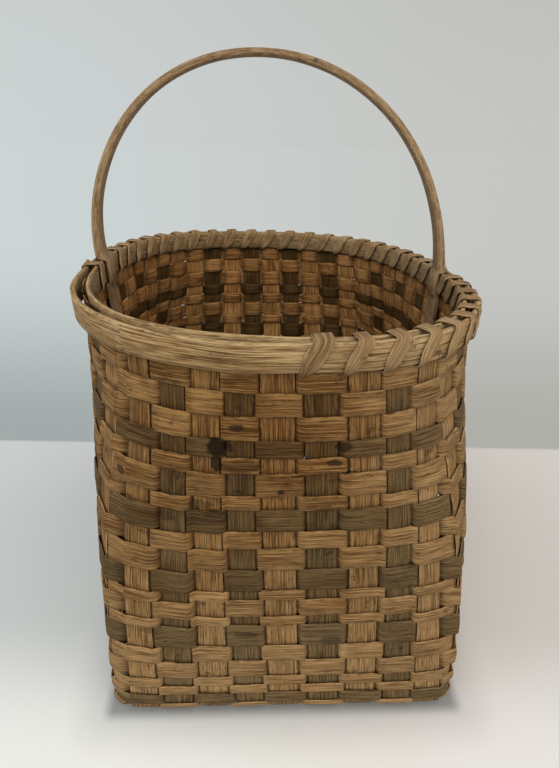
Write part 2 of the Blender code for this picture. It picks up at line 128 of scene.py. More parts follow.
@dataclass
class Strip:
    """A swept skin: loops of points with what its finish needs at each of them.

    loops holds one closed section per station. along and across are places in metres
    for the grain. tone, edge, the painted shade and inward run from 0 to 1: the painted
    shade darkens crevices, undersides and the places where parts meet, and inward is 1 on
    the side that faces the inside of the basket.
    """

    loops: np.ndarray
    along: np.ndarray
    across: np.ndarray
    tone: np.ndarray
    edge: np.ndarray
    grime: np.ndarray
    closed: bool = False
    inward: np.ndarray | float = 0.0

    def faces(self) -> tuple[np.ndarray, np.ndarray]:
        """Return the quads and the grain place of each of their corners.

        Returns:
            The corner numbers, shaped (faces, 4), and the places, (faces, 4, 2).
        """
        count, corners = self.loops.shape[:2]
        rows = np.arange(count if self.closed else count - 1)
        row, column = np.meshgrid(rows, np.arange(corners), indexing="ij")
        row, column = row.ravel(), column.ravel()
        ahead, beside = (row + 1) % count, (column + 1) % corners
        quads = np.stack(
            (row * corners + column, row * corners + beside,
             ahead * corners + beside, ahead * corners + column), axis=-1)
        along, across = self.along, self.across
        places = np.stack(
            (np.stack((along[row], across[column]), -1),
             np.stack((along[row], across[column + 1]), -1),
             np.stack((along[row + 1], across[column + 1]), -1),
             np.stack((along[row + 1], across[column]), -1)), axis=1)
        points = self.loops.reshape(-1, 3)
        first, second, third, fourth = (points[quads[:, index]] for index in range(4))
        sense = np.einsum("ij,ij->i", first, np.cross(second, third)).sum()
        sense += np.einsum("ij,ij->i", first, np.cross(third, fourth)).sum()
        if sense < 0:
            quads, places = quads[:, ::-1], places[:, ::-1]
        return quads, places

    def build(self, name: str, material: bpy.types.Material) -> bpy.types.Object:
        """Make the mesh, with its grain map, its marks and its end caps.

        Args:
            name: The piece's name.
            material: The finish that it takes.

        Returns:
            The new object, linked to the scene.
        """
        quads, places = self.faces()
        count, corners = self.loops.shape[:2]
        faces = quads.tolist()
        flat = places.reshape(-1, 2).tolist()
        if not self.closed:
            for station in (0, count - 1):
                ring = [station * corners + corner for corner in range(corners)]
                ring = ring if station else ring[::-1]
                faces.append(ring)
                flat += [(self.along[station], self.across[n % corners]) for n in ring]
        mesh = bpy.data.meshes.new(name)
        mesh.from_pydata(self.loops.reshape(-1, 3).tolist(), [], faces)
        grain = mesh.uv_layers.new(name="grain")
        grain.data.foreach_set("uv", np.array(flat, dtype=np.float32).ravel())
        marks = mesh.color_attributes.new("marks", "FLOAT_COLOR", "POINT")
        values = np.stack([np.broadcast_to(mark, (count, corners))
                           for mark in (self.tone, self.edge, self.grime, self.inward)],
                          axis=-1).astype(np.float32)
        marks.data.foreach_set("color", values.ravel())
        mesh.shade_smooth()
        mesh.materials.append(material)
        mesh.validate()
        piece = bpy.data.objects.new(name, mesh)
        bpy.context.scene.collection.objects.link(piece)
        return piece


@dataclass
class Profile:
    """A splint's cross-section: a thin bar with eased edges and a slight crown."""

    fractions: tuple[float, ...] = (-1.0, -0.92, -0.55, 0.0, 0.55, 0.92, 1.0)
    eased: tuple[float, ...] = (0.35, 0.86, 1.0, 1.0, 1.0, 0.86, 0.35)
    edge_power: int = 4

    def offsets(self, half_thickness: float, crown: float) -> tuple[np.ndarray, np.ndarray]:
        """Return each corner's share of the half width and its height over the middle.

        Args:
            half_thickness: Half of the splint's thickness.
            crown: How far the middle stands proud of the edges.

        Returns:
            The shares of the half width and the heights, front side first.
        """
        shares = np.array(self.fractions)
        raised = np.array(self.eased) * half_thickness
        bow = crown * (0.5 - shares ** 2)
        return (np.concatenate((shares, shares[::-1])),
                np.concatenate((bow + raised, bow[::-1] - raised[::-1])))

    def across(self, width: float) -> np.ndarray:
        """Return each corner's place across the grain, and the first one again.

        Args:
            width: The splint's width.

        Returns:
            The places in metres, from the splint's middle.
        """
        shares = np.array(self.fractions)
        ring = np.concatenate((shares, shares[::-1], shares[:1]))
        return ring * width / 2

    def edge(self) -> np.ndarray:
        """Return how near each corner lies to a cut edge."""
        shares = np.abs(np.array(self.fractions))
        return np.concatenate((shares, shares[::-1])) ** self.edge_power

    def inward(self) -> np.ndarray:
        """Return 1 for each corner on the side that faces the inside, and 0 elsewhere."""
        return np.repeat((0.0, 1.0), len(self.fractions))[None, :]


# The wall that everything follows

@dataclass
class Wall:
    """The basket's side, from its square base outline up to its oval rim."""

    rim_width: float = 0.300
    rim_depth: float = 0.376
    rim_height: float = 0.300
    base_width_step: float = 0.0178
    base_depth_step: float = 0.017
    set_back: float = 0.0115
    set_left: float = 0.0075
    tilt: float = 0.008
    dip: float = 0.010
    splint: float = 0.0010
    splint_gap: float = 0.0005
    bend_radius: float = 0.004
    hoop_thickness: float = 0.0045
    hoop_height: float = 0.016
    hoop_lift: float = 0.0010
    hoop_gap: float = 0.0008
    base_squareness: float = 18.0
    rim_squareness: float = 2.4
    rim_turn: float = 0.045
    width_flare: float = 1.9
    depth_flare: float = 0.8
    corner_fade: float = 2.2
    heading_step: float = 0.002
    base_half_width: float = field(init=False)
    base_half_depth: float = field(init=False)
    rim_half_width: float = field(init=False)
    rim_half_depth: float = field(init=False)
    base_level: float = field(init=False)
    foot: float = field(init=False)
    rise: float = field(init=False)
    hoop_offset: float = field(init=False)
    weave_offset: float = field(init=False)

    def __post_init__(self) -> None:
        """Work out what follows from the driving sizes."""
        self.hoop_offset = self.splint / 2 + self.hoop_gap
        self.weave_offset = self.splint + self.splint_gap
        self.base_half_width = self.rim_width / 2 - self.base_width_step
        self.base_half_depth = self.rim_depth / 2 - self.base_depth_step
        self.rim_half_width = self.rim_width / 2 - self.hoop_offset - self.hoop_thickness
        self.rim_half_depth = self.rim_depth / 2 - self.hoop_offset - self.hoop_thickness
        self.base_level = self.weave_offset + self.splint / 2
        self.foot = self.base_level + self.bend_radius
        self.rise = self.rim_height - self.foot

    def point(self, angle: np.ndarray, share: np.ndarray) -> np.ndarray:
        """Return points on the wall's middle surface.

        Args:
            angle: Polar angles about the basket's middle.
            share: Shares of the rise, 0 at the base and 1 at the rim.

        Returns:
            The points, with their last axis holding x, y and z.
        """
        angle, share = np.broadcast_arrays(np.asarray(angle, float), np.asarray(share, float))
        held = np.clip(share, 0.0, 1.0)
        wide = self.base_half_width + (
            self.rim_half_width - self.base_half_width) * held ** self.width_flare
        deep = self.base_half_depth + (
            self.rim_half_depth - self.base_half_depth) * held ** self.depth_flare
        power = self.rim_squareness + (
            self.base_squareness - self.rim_squareness) * (1 - held) ** self.corner_fade
        turned = angle - self.rim_turn * held
        radius = ((np.abs(np.cos(turned)) / wide) ** power
                  + (np.abs(np.sin(turned)) / deep) ** power) ** (-1 / power)
        x = radius * np.cos(angle) + self.set_left * (1 - held)
        y = radius * np.sin(angle) - self.set_back * (1 - held)
        rise = self.rise - self.tilt * x / self.rim_width - self.dip * y / self.rim_depth
        return np.stack((x, y, self.foot + rise * share), axis=-1)

    def heading(self, angle: np.ndarray, share: np.ndarray) -> np.ndarray:
        """Return the direction in plan in which the outline runs, in radians.

        Args:
            angle: Polar angles about the basket's middle.
            share: Shares of the rise.

        Returns:
            The directions.
        """
        step = self.heading_step
        run = self.point(angle + step, share) - self.point(angle - step, share)
        return np.arctan2(run[..., 1], run[..., 0])

    def share_below(self, drop: float) -> float:
        """Return the share of the rise that lies a given drop below the rim."""
        return 1 - drop / self.rise


@dataclass
class Uprights:
    """The forty-eight stake ends that stand up the wall, front left first."""

    wall: Wall
    long_stakes: int = 9
    cross_stakes: int = 15
    width_corner: float = 0.0234
    depth_corner: float = 0.0180
    long_gap: float = 0.0057
    cross_gap: float = 0.0022
    top_gap: float = 0.0032
    levels: Triple = (0.0, 0.45, 0.95)
    front_sway: tuple[Triple, ...] = (
        (0.0025, 0.0060, 0.0034), (0.0009, 0.0060, 0.0054), (0.0011, 0.0025, 0.0036),
        (0.0011, -0.0012, 0.0), (-0.0001, -0.0020, -0.0022), (0.0025, 0.0007, -0.0007),
        (0.0037, 0.0033, 0.0016), (0.0051, 0.0017, 0.0010), (0.0020, -0.0020, 0.0024))
    front_width: tuple[Triple, ...] = (
        (0.0215, 0.0172, 0.0158), (0.0215, 0.0170, 0.0152), (0.0215, 0.0180, 0.0156),
        (0.0210, 0.0172, 0.0162), (0.0222, 0.0208, 0.0190), (0.0222, 0.0196, 0.0196),
        (0.0222, 0.0196, 0.0188), (0.0208, 0.0164, 0.0150), (0.0205, 0.0158, 0.0148))
    side_sway: float = 0.0007
    sway_seeds: Triple = (1.7, 2.9, 4.3)
    width_vary: float = 0.05
    width_seeds: tuple[float, float] = (0.5, 0.9)
    middle_foot_share: float = 0.55
    outline_steps: int = 1440
    angle: np.ndarray = field(init=False)
    spread: np.ndarray = field(init=False)
    run: np.ndarray = field(init=False)
    twist: np.ndarray = field(init=False)
    sways: np.ndarray = field(init=False)
    widths: np.ndarray = field(init=False)
    rim_pitch: float = field(init=False)

    def __post_init__(self) -> None:
        """Place the feet on the base outline and the tops evenly round the rim."""
        wall = self.wall
        places = np.array([self.base_place(number) for number in range(self.count)])
        base = np.arctan2(places[:, 1], places[:, 0])
        rim = self.rim_angles()
        self.angle = base + FULL_TURN * np.round((rim - base) / FULL_TURN)
        self.spread = rim - self.angle
        self.run = wall.heading(self.angle, np.zeros(self.count))
        turn = wall.heading(rim, np.ones(self.count)) - self.run
        self.twist = np.mod(turn + math.pi, FULL_TURN) - math.pi
        numbers = np.arange(self.count)
        is_long = numbers % (self.count // 2) < self.long_stakes
        foot = np.where(is_long, self.long_pitch - self.long_gap,
                        self.cross_pitch - self.cross_gap)
        top = self.rim_pitch - self.top_gap
        middle = foot * self.middle_foot_share + top * (1 - self.middle_foot_share)
        self.widths = np.stack((foot, middle, np.full(self.count, top)), 1)
        drawn = chance(numbers[:, None] + [self.width_seeds])
        self.widths[:, 1:] *= 1 + self.width_vary * (drawn - 0.5)
        self.sways = self.side_sway * (2 * chance(numbers[:, None] * [self.sway_seeds]) - 1)
        self.sways[:, 0] = 0.0
        self.sways[:self.long_stakes] = self.front_sway
        self.widths[:self.long_stakes] = self.front_width

    @property
    def count(self) -> int:
        """Return the number of stake ends."""
        return 2 * (self.long_stakes + self.cross_stakes)

    @property
    def long_middle(self) -> int:
        """Return the number of the middle long stake."""
        return (self.long_stakes - 1) // 2

    @property
    def cross_middle(self) -> int:
        """Return the number of the middle cross stake."""
        return (self.cross_stakes - 1) // 2

    @property
    def long_pitch(self) -> float:
        """Return the spacing of the long stakes across the base."""
        return (self.wall.base_half_width - self.width_corner) / self.long_middle

    @property
    def cross_pitch(self) -> float:
        """Return the spacing of the cross stakes along the base."""
        return (self.wall.base_half_depth - self.depth_corner) / self.cross_middle

    def base_place(self, number: int) -> tuple[float, float]:
        """Return a stake end's place on the base outline, from the base's middle.

        Args:
            number: Which stake end.

        Returns:
            Its x and y.
        """
        wall, power = self.wall, self.wall.base_squareness
        half = self.count // 2
        if number < self.long_stakes:
            x = (number - self.long_middle) * self.long_pitch
            reach = (1 - abs(x / wall.base_half_width) ** power) ** (1 / power)
            return x, -wall.base_half_depth * reach
        if number < half:
            y = (number - self.long_stakes - self.cross_middle) * self.cross_pitch
            reach = (1 - abs(y / wall.base_half_depth) ** power) ** (1 / power)
            return wall.base_half_width * reach, y
        x, y = self.base_place(number - half)
        return -x, -y

    def rim_angles(self) -> np.ndarray:
        """Return each stake end's angle at the rim, and keep their even spacing.

        Returns:
            The polar angles, in radians.
        """
        angles = np.linspace(0, FULL_TURN, self.outline_steps + 1) - QUARTER_TURN
        outline = self.wall.point(angles, np.ones_like(angles))
        outline[:, 2] = 0
        walked = travelled(outline)
        self.rim_pitch = walked[-1] / self.count
        places = (np.arange(self.count) - self.long_middle) * self.rim_pitch
        turns = np.floor(places / walked[-1])
        return np.interp(places - turns * walked[-1], walked, angles) + turns * FULL_TURN

    def through_levels(self, table: np.ndarray, share: np.ndarray) -> np.ndarray:
        """Return table values at shares, on the curve through the three levels.

        Args:
            table: Each stake end's value at the three levels.
            share: Shares of the rise, matched to the table's lines.

        Returns:
            The values.
        """
        low, middle, high = self.levels
        share = np.clip(share, 0.0, 1.0)
        return (table[..., 0] * (share - middle) * (share - high) / ((low - middle) * (low - high))
                + table[..., 1] * (share - low) * (share - high)
                / ((middle - low) * (middle - high))
                + table[..., 2] * (share - low) * (share - middle)
                / ((high - low) * (high - middle)))

    def band(self, number: np.ndarray, share: np.ndarray) -> tuple[np.ndarray, ...]:
        """Return where stake ends stand at shares of the rise.

        Args:
            number: Which stake ends.
            share: Shares of the rise, matched to the numbers.

        Returns:
            The middles, the directions along the rim, the outward directions and the
            widths.
        """
        number, share = np.broadcast_arrays(number, np.asarray(share, float))
        run = self.run[number] + self.twist[number] * share
        flat = np.zeros_like(run)
        tangent = np.stack((np.cos(run), np.sin(run), flat), -1)
        normal = np.stack((np.sin(run), -np.cos(run), flat), -1)
        sway = self.through_levels(self.sways[number], share)
        middle = self.wall.point(self.angle[number] + self.spread[number] * share, share)
        return (middle + tangent * sway[..., None], tangent, normal,
                self.through_levels(self.widths[number], share))

    def rim_frame(self, place: np.ndarray, share: np.ndarray) -> tuple[np.ndarray, ...]:
        """Return points on the wall at places counted in uprights, and outward directions.

        Args:
            place: Places round the rim, 0 at the first upright and 1 at the next.
            share: Shares of the rise, matched to the places.

        Returns:
            The points and the outward directions.
        """
        turns = np.floor(place / self.count)
        numbers = np.arange(self.count + 1)
        base = np.append(self.angle, self.angle[0] + FULL_TURN)
        rim = np.append(self.angle + self.spread, self.angle[0] + self.spread[0] + FULL_TURN)
        inside = place - turns * self.count
        angle = (np.interp(inside, numbers, base) * (1 - share)
                 + np.interp(inside, numbers, rim) * share + turns * FULL_TURN)
        run = self.wall.heading(angle, share)
        normal = np.stack((np.sin(run), -np.cos(run), np.zeros_like(run)), -1)
        return self.wall.point(angle, share), normal


# Finishes

@dataclass(frozen=True)
class Speckle:
    """A noise stretched by its rates per metre, its pattern's number and how fine it is."""

    rates: Triple
    pattern: float
    detail: float = 3.0
    rough: float = 0.6


class NodeSheet:
    """A node tree with short ways to add and join its nodes."""

    MIX_FIRST, MIX_SECOND, MIX_RESULT = 6, 7, 2

    def __init__(self, tree: bpy.types.NodeTree) -> None:
        """Keep the tree that the nodes go in."""
        self.tree = tree

    def add(self, kind: str, **settings: object) -> bpy.types.Node:
        """Add a node of a kind and set its own settings.

        Args:
            kind: The node's kind.
            settings: Its settings, by name.

        Returns:
            The new node.
        """
        node = self.tree.nodes.new(kind)
        for name, value in settings.items():
            setattr(node, name, value)
        return node

    def feed(self, socket: bpy.types.NodeSocket, value: object) -> None:
        """Join a socket to another one, or set it to a plain value.

        Args:
            socket: The socket that is fed.
            value: A socket, a number or a colour.
        """
        if isinstance(value, bpy.types.NodeSocket):
            self.tree.links.new(value, socket)
        elif isinstance(value, tuple) and len(value) == 3 and socket.type == "RGBA":
            socket.default_value = (*value, 1.0)
        else:
            socket.default_value = value

    def sum(self, operation: str, first: object, second: object = 0.0,
            held: bool = False) -> bpy.types.NodeSocket:
        """Add a Math node.

        Args:
            operation: Its operation's name.
            first: Its first value or socket.
            second: Its second value or socket.
            held: Whether the result is held between 0 and 1.

        Returns:
            Its value socket.
        """
        node = self.add("ShaderNodeMath", operation=operation, use_clamp=held)
        self.feed(node.inputs[0], first)
        self.feed(node.inputs[1], second)
        return node.outputs[0]

    def span(self, value: object, low: float, high: float, start: float = 0.0,
             end: float = 1.0) -> bpy.types.NodeSocket:
        """Add a smooth Map Range node.

        Args:
            value: What is mapped.
            low: The value that gives start.
            high: The value that gives end.
            start: The result at low.
            end: The result at high.

        Returns:
            Its result socket.
        """
        node = self.add("ShaderNodeMapRange", interpolation_type="SMOOTHSTEP")
        for name, item in zip(
                ("Value", "From Min", "From Max", "To Min", "To Max"),
                (value, low, high, start, end)):
            self.feed(node.inputs[name], item)
        return node.outputs["Result"]

    def mix(self, factor: object, first: object, second: object,
            way: str = "MIX") -> bpy.types.NodeSocket:
        """Add a colour Mix node.

        Args:
            factor: How much of the second colour shows.
            first: The first colour.
            second: The second colour.
            way: The blend type.

        Returns:
            Its colour socket.
        """
        node = self.add("ShaderNodeMix", data_type="RGBA", blend_type=way)
        for socket, value in zip((0, self.MIX_FIRST, self.MIX_SECOND), (factor, first, second)):
            self.feed(node.inputs[socket], value)
        return node.outputs[self.MIX_RESULT]

    def vector(self, operation: str, first: object, second: object = None) -> bpy.types.Node:
        """Add a Vector Math node and return it.

        Args:
            operation: Its operation's name.
            first: Its first vector or socket.
            second: Its second one, if it has two.

        Returns:
            The new node.
        """
        node = self.add("ShaderNodeVectorMath", operation=operation)
        self.feed(node.inputs[0], first)
        if second is not None:
            self.feed(node.inputs[1], second)
        return node

    def noise(self, place: bpy.types.NodeSocket, speckle: Speckle,
              seed: object = 0.0) -> bpy.types.NodeSocket:
        """Add a noise that is stretched by different rates along its axes.

        Args:
            place: The place that it reads.
            speckle: Its rates, pattern and fineness.
            seed: A value or socket that moves the pattern on.

        Returns:
            Its value socket.
        """
        away = self.add("ShaderNodeCombineXYZ")
        self.feed(away.inputs["Z"], self.sum("ADD", seed, speckle.pattern))
        scaled = self.vector("MULTIPLY", place, speckle.rates)
        moved = self.vector("ADD", scaled.outputs[0], away.outputs[0])
        node = self.add("ShaderNodeTexNoise")
        for name, value in zip(("Vector", "Scale", "Detail", "Roughness"),
                               (moved.outputs[0], 1.0, speckle.detail, speckle.rough)):
            self.feed(node.inputs[name], value)
        return node.outputs["Fac"]


class OakGroups:
    """The effects that all the oak finishes share, each a node group built once.

    A span is a low and a high value, and the results there where they aren't 0 and 1.
    """

    FINE_FIBRE = Speckle((55.0, 2500.0, 0.0), 0.0)
    FIBRE_LINE = Speckle((24.0, 950.0, 0.0), 7.0, 2.0, 0.55)
    BROAD_BAND = Speckle((12.0, 130.0, 0.0), 13.0, 2.0, 0.5)
    SHORT_PORE = Speckle((120.0, 900.0, 0.0), 21.0, 1.0, 0.5)
    FIBRE_SPAN, BAND_SPAN, PORE_SPAN = (0.37, 0.62), (0.36, 0.64), (0.62, 0.72)
    FINE_SHARE, LINE_SHARE, PORE_DEPTH = 0.50, 0.50, 0.5

    BROKEN_EDGE = Speckle((160.0, 700.0, 0.0), 3.0)
    SOFT_DIRT = Speckle((60.0, 200.0, 0.0), 9.0)
    WORN_SPAN, DIRT_SPAN, DIRT_BREAK = (0.42, 0.62), (0.5, 0.75), (0.2, 0.6, 0.55, 1.0)
    SOFT_SHARE = 0.35

    AGE_PATCH = Speckle((22.0, 22.0, 30.0), 2.0)
    WARM_PATCH = Speckle((18.0, 18.0, 26.0), 11.0)
    SMUDGE = Speckle((70.0, 70.0, 110.0), 5.0, rough=0.65)
    PATCH_SPAN, WARM_SPAN, SMUDGE_SPAN = (0.42, 0.66), (0.44, 0.64), (0.60, 0.72)
    # Painted shade: darker and warmer in the middle of the front and higher up the wall
    WARM_MIDDLE, WARM_HALF = (0.005, -0.184, 0.245), (0.050, 0.03, 0.045)
    WARM_FADE, WARM_RISE = (1.2, 0.3, 0.0, 0.14), (0.14, 0.27, -0.03, 0.06)
    # Painted light: paler towards the foot and at the right and left sides
    FOOT_SPAN = (0.24, 0.02)
    RIGHT_SPAN, LEFT_SPAN = (0.015, 0.095, 0.0, 0.85), (-0.060, -0.120, 0.0, 0.45)

    RAGGED = Speckle((260.0, 260.0, 420.0), 17.0)
    RAGGED_SPAN, MARK_SPAN = (0.3, 0.7, -0.22, 0.22), (1.10, 0.80)

    def __init__(self) -> None:
        """Build the groups."""
        self.grain = self.build_grain()
        self.wear = self.build_wear()
        self.stains = self.build_stains()
        self.spots = self.build_spots()

    @staticmethod
    def start(name: str, inputs: tuple[tuple[str, str, float], ...],
              outputs: tuple[str, ...]) -> tuple[bpy.types.NodeTree, NodeSheet,
                                                 bpy.types.Node, bpy.types.Node]:
        """Make an empty group with its sockets.

        Args:
            name: The group's name.
            inputs: Each input's name, socket kind and starting value.
            outputs: The names of its value outputs.

        Returns:
            The group, its sheet and its two end nodes.
        """
        tree = bpy.data.node_groups.new(name, "ShaderNodeTree")
        for label, kind, value in inputs:
            socket = tree.interface.new_socket(label, in_out="INPUT", socket_type=kind)
            if kind == "NodeSocketFloat":
                socket.default_value = value
        for label in outputs:
            tree.interface.new_socket(label, in_out="OUTPUT", socket_type="NodeSocketFloat")
        sheet = NodeSheet(tree)
        return tree, sheet, sheet.add("NodeGroupInput"), sheet.add("NodeGroupOutput")

    def build_grain(self) -> bpy.types.NodeTree:
        """Build the split grain: long fibres, broad bands and short pores.

        Returns:
            The group.
        """
        tree, sheet, given, out = self.start(
            "split_grain",
            (("Place", "NodeSocketVector", 0.0), ("Seed", "NodeSocketFloat", 0.0)),
            ("Fibre", "Band", "Pore", "Height"))
        place, seed = given.outputs["Place"], given.outputs["Seed"]
        fine = sheet.noise(place, self.FINE_FIBRE, seed)
        line = sheet.noise(place, self.FIBRE_LINE, seed)
        band = sheet.span(sheet.noise(place, self.BROAD_BAND, seed), *self.BAND_SPAN)
        pores = sheet.span(sheet.noise(place, self.SHORT_PORE, seed), *self.PORE_SPAN)
        fibre = sheet.sum("ADD", sheet.sum("MULTIPLY", fine, self.FINE_SHARE),
                          sheet.sum("MULTIPLY", line, self.LINE_SHARE))
        fibre = sheet.span(fibre, *self.FIBRE_SPAN)
        height = sheet.sum("SUBTRACT", fibre, sheet.sum("MULTIPLY", pores, self.PORE_DEPTH))
        for name, value in zip(("Fibre", "Band", "Pore", "Height"),
                               (fibre, band, pores, height)):
            sheet.feed(out.inputs[name], value)
        return tree

    def build_wear(self) -> bpy.types.NodeTree:
        """Build edge wear, and soft dirt together with the painted shade where splints cross.

        Returns:
            The group.
        """
        tree, sheet, given, out = self.start(
            "splint_wear",
            (("Place", "NodeSocketVector", 0.0), ("Edge", "NodeSocketFloat", 0.0),
             ("Grime", "NodeSocketFloat", 0.0)),
            ("Worn", "Dirt"))
        broken = sheet.noise(given.outputs["Place"], self.BROKEN_EDGE)
        soft = sheet.span(sheet.noise(given.outputs["Place"], self.SOFT_DIRT), *self.DIRT_SPAN)
        worn = sheet.sum("MULTIPLY", given.outputs["Edge"], sheet.span(broken, *self.WORN_SPAN))
        # Painted shade from the marks, with soft random dirt added
        dirt = sheet.sum("ADD", given.outputs["Grime"],
                         sheet.sum("MULTIPLY", soft, self.SOFT_SHARE))
        dirt = sheet.sum("MULTIPLY", dirt, sheet.span(broken, *self.DIRT_BREAK), held=True)
        sheet.feed(out.inputs["Worn"], worn)
        sheet.feed(out.inputs["Dirt"], dirt)
        return tree

    def build_stains(self) -> bpy.types.NodeTree:
        """Build grey and reddish patches of age, dark smudges, and painted light and shade, by place
        in the basket.

        Returns:
            The group.
        """
        tree, sheet, given, out = self.start(
            "age_stains", (("Place", "NodeSocketVector", 0.0),), ("Patch", "Warm", "Smudge", "Foot"))
        place = given.outputs["Place"]
        split = sheet.add("ShaderNodeSeparateXYZ")
        sheet.feed(split.inputs[0], place)
        across, level = split.outputs["X"], split.outputs["Z"]
        patch = sheet.noise(place, self.AGE_PATCH)
        smudge = sheet.noise(place, self.SMUDGE)
        # Random warm patches, with painted shade added in the middle of the front and higher up the
        # wall
        reach = self.reach(sheet, place, self.WARM_MIDDLE, self.WARM_HALF)
        warm = sheet.sum("ADD", sheet.noise(place, self.WARM_PATCH),
                         sheet.span(reach, *self.WARM_FADE))
        warm = sheet.sum("ADD", warm, sheet.span(level, *self.WARM_RISE))
        # Painted light: paler and untinted towards the foot and at the sides, while higher up in the
        # middle the rim tint paints shade
        sides = sheet.sum("MAXIMUM", sheet.span(across, *self.RIGHT_SPAN),
                          sheet.span(across, *self.LEFT_SPAN))
        foot = sheet.sum("MAXIMUM", sheet.span(level, *self.FOOT_SPAN), sides)
        sheet.feed(out.inputs["Foot"], foot)
        sheet.feed(out.inputs["Patch"], sheet.span(patch, *self.PATCH_SPAN))
        sheet.feed(out.inputs["Warm"], sheet.span(warm, *self.WARM_SPAN))
        sheet.feed(out.inputs["Smudge"], sheet.span(smudge, *self.SMUDGE_SPAN))
        return tree

    def build_spots(self) -> bpy.types.NodeTree:
        """Build the knot, drips and smudges that lie at their own places on the wall.

        Returns:
            The group.
        """
        tree, sheet, given, out = self.start(
            "dark_spots", (("Place", "NodeSocketVector", 0.0),), ("Mark",))
        place = given.outputs["Place"]
        ragged = sheet.span(sheet.noise(place, self.RAGGED), *self.RAGGED_SPAN)
        total = 0.0
        for middle, half_size, strength in SPOTS:
            reach = sheet.sum("ADD", self.reach(sheet, place, middle, half_size), ragged)
            mark = sheet.span(reach, *self.MARK_SPAN, 0.0, strength)
            total = sheet.sum("MAXIMUM", total, mark)
        sheet.feed(out.inputs["Mark"], total)
        return tree

    @staticmethod
    def reach(sheet: NodeSheet, place: bpy.types.NodeSocket, middle: Triple,
              half_size: Triple) -> bpy.types.NodeSocket:
        """Return how far a place lies from a middle, as a share of a patch's half size.

        Args:
            sheet: Where the nodes go.
            place: The place that is tested.
            middle: The patch's middle.
            half_size: The patch's half size along each axis.

        Returns:
            The value socket, 1 at the patch's rim.
        """
        away = sheet.vector("SUBTRACT", place, middle)
        shares = sheet.vector("DIVIDE", away.outputs[0], half_size)
        return sheet.vector("LENGTH", shares.outputs[0]).outputs["Value"]


# The dark spots on the front wall: the middle, the half size and how dark it is
SPOTS = (
    ((-0.0355, -0.1839, 0.2404), (0.0061, 0.02, 0.0064), 1.0),
    ((-0.0361, -0.1823, 0.2300), (0.0036, 0.02, 0.0062), 0.92),
    ((-0.0288, -0.1830, 0.2390), (0.0025, 0.02, 0.0040), 0.75),
    ((-0.0244, -0.1845, 0.2533), (0.0042, 0.02, 0.0026), 0.80),
    ((-0.0225, -0.1840, 0.2275), (0.0110, 0.02, 0.0050), 0.45),
    ((0.0015, -0.1850, 0.2090), (0.0022, 0.02, 0.0020), 0.85),
    ((-0.0473, -0.1833, 0.1999), (0.0080, 0.02, 0.0034), 0.55),
    ((-0.0401, -0.1864, 0.1940), (0.0060, 0.02, 0.0030), 0.50),
    ((-0.0695, -0.1818, 0.1897), (0.0060, 0.02, 0.0034), 0.50),
    ((-0.0972, -0.1684, 0.2139), (0.0030, 0.02, 0.0030), 0.75),
    ((0.0375, -0.1827, 0.2390), (0.0055, 0.02, 0.0036), 0.80),
    ((0.0324, -0.1835, 0.2287), (0.0046, 0.02, 0.0022), 0.80),
    ((0.0407, -0.1821, 0.2212), (0.0070, 0.02, 0.0009), 0.85),
    ((0.0126, -0.1840, 0.2199), (0.0060, 0.02, 0.0009), 0.80),
    ((-0.0871, -0.1841, 0.0929), (0.0080, 0.02, 0.0040), 0.45),
    ((-0.0210, -0.1856, 0.0862), (0.0090, 0.02, 0.0040), 0.45),
    ((0.0384, -0.1849, 0.0787), (0.0080, 0.02, 0.0045), 0.45),
)


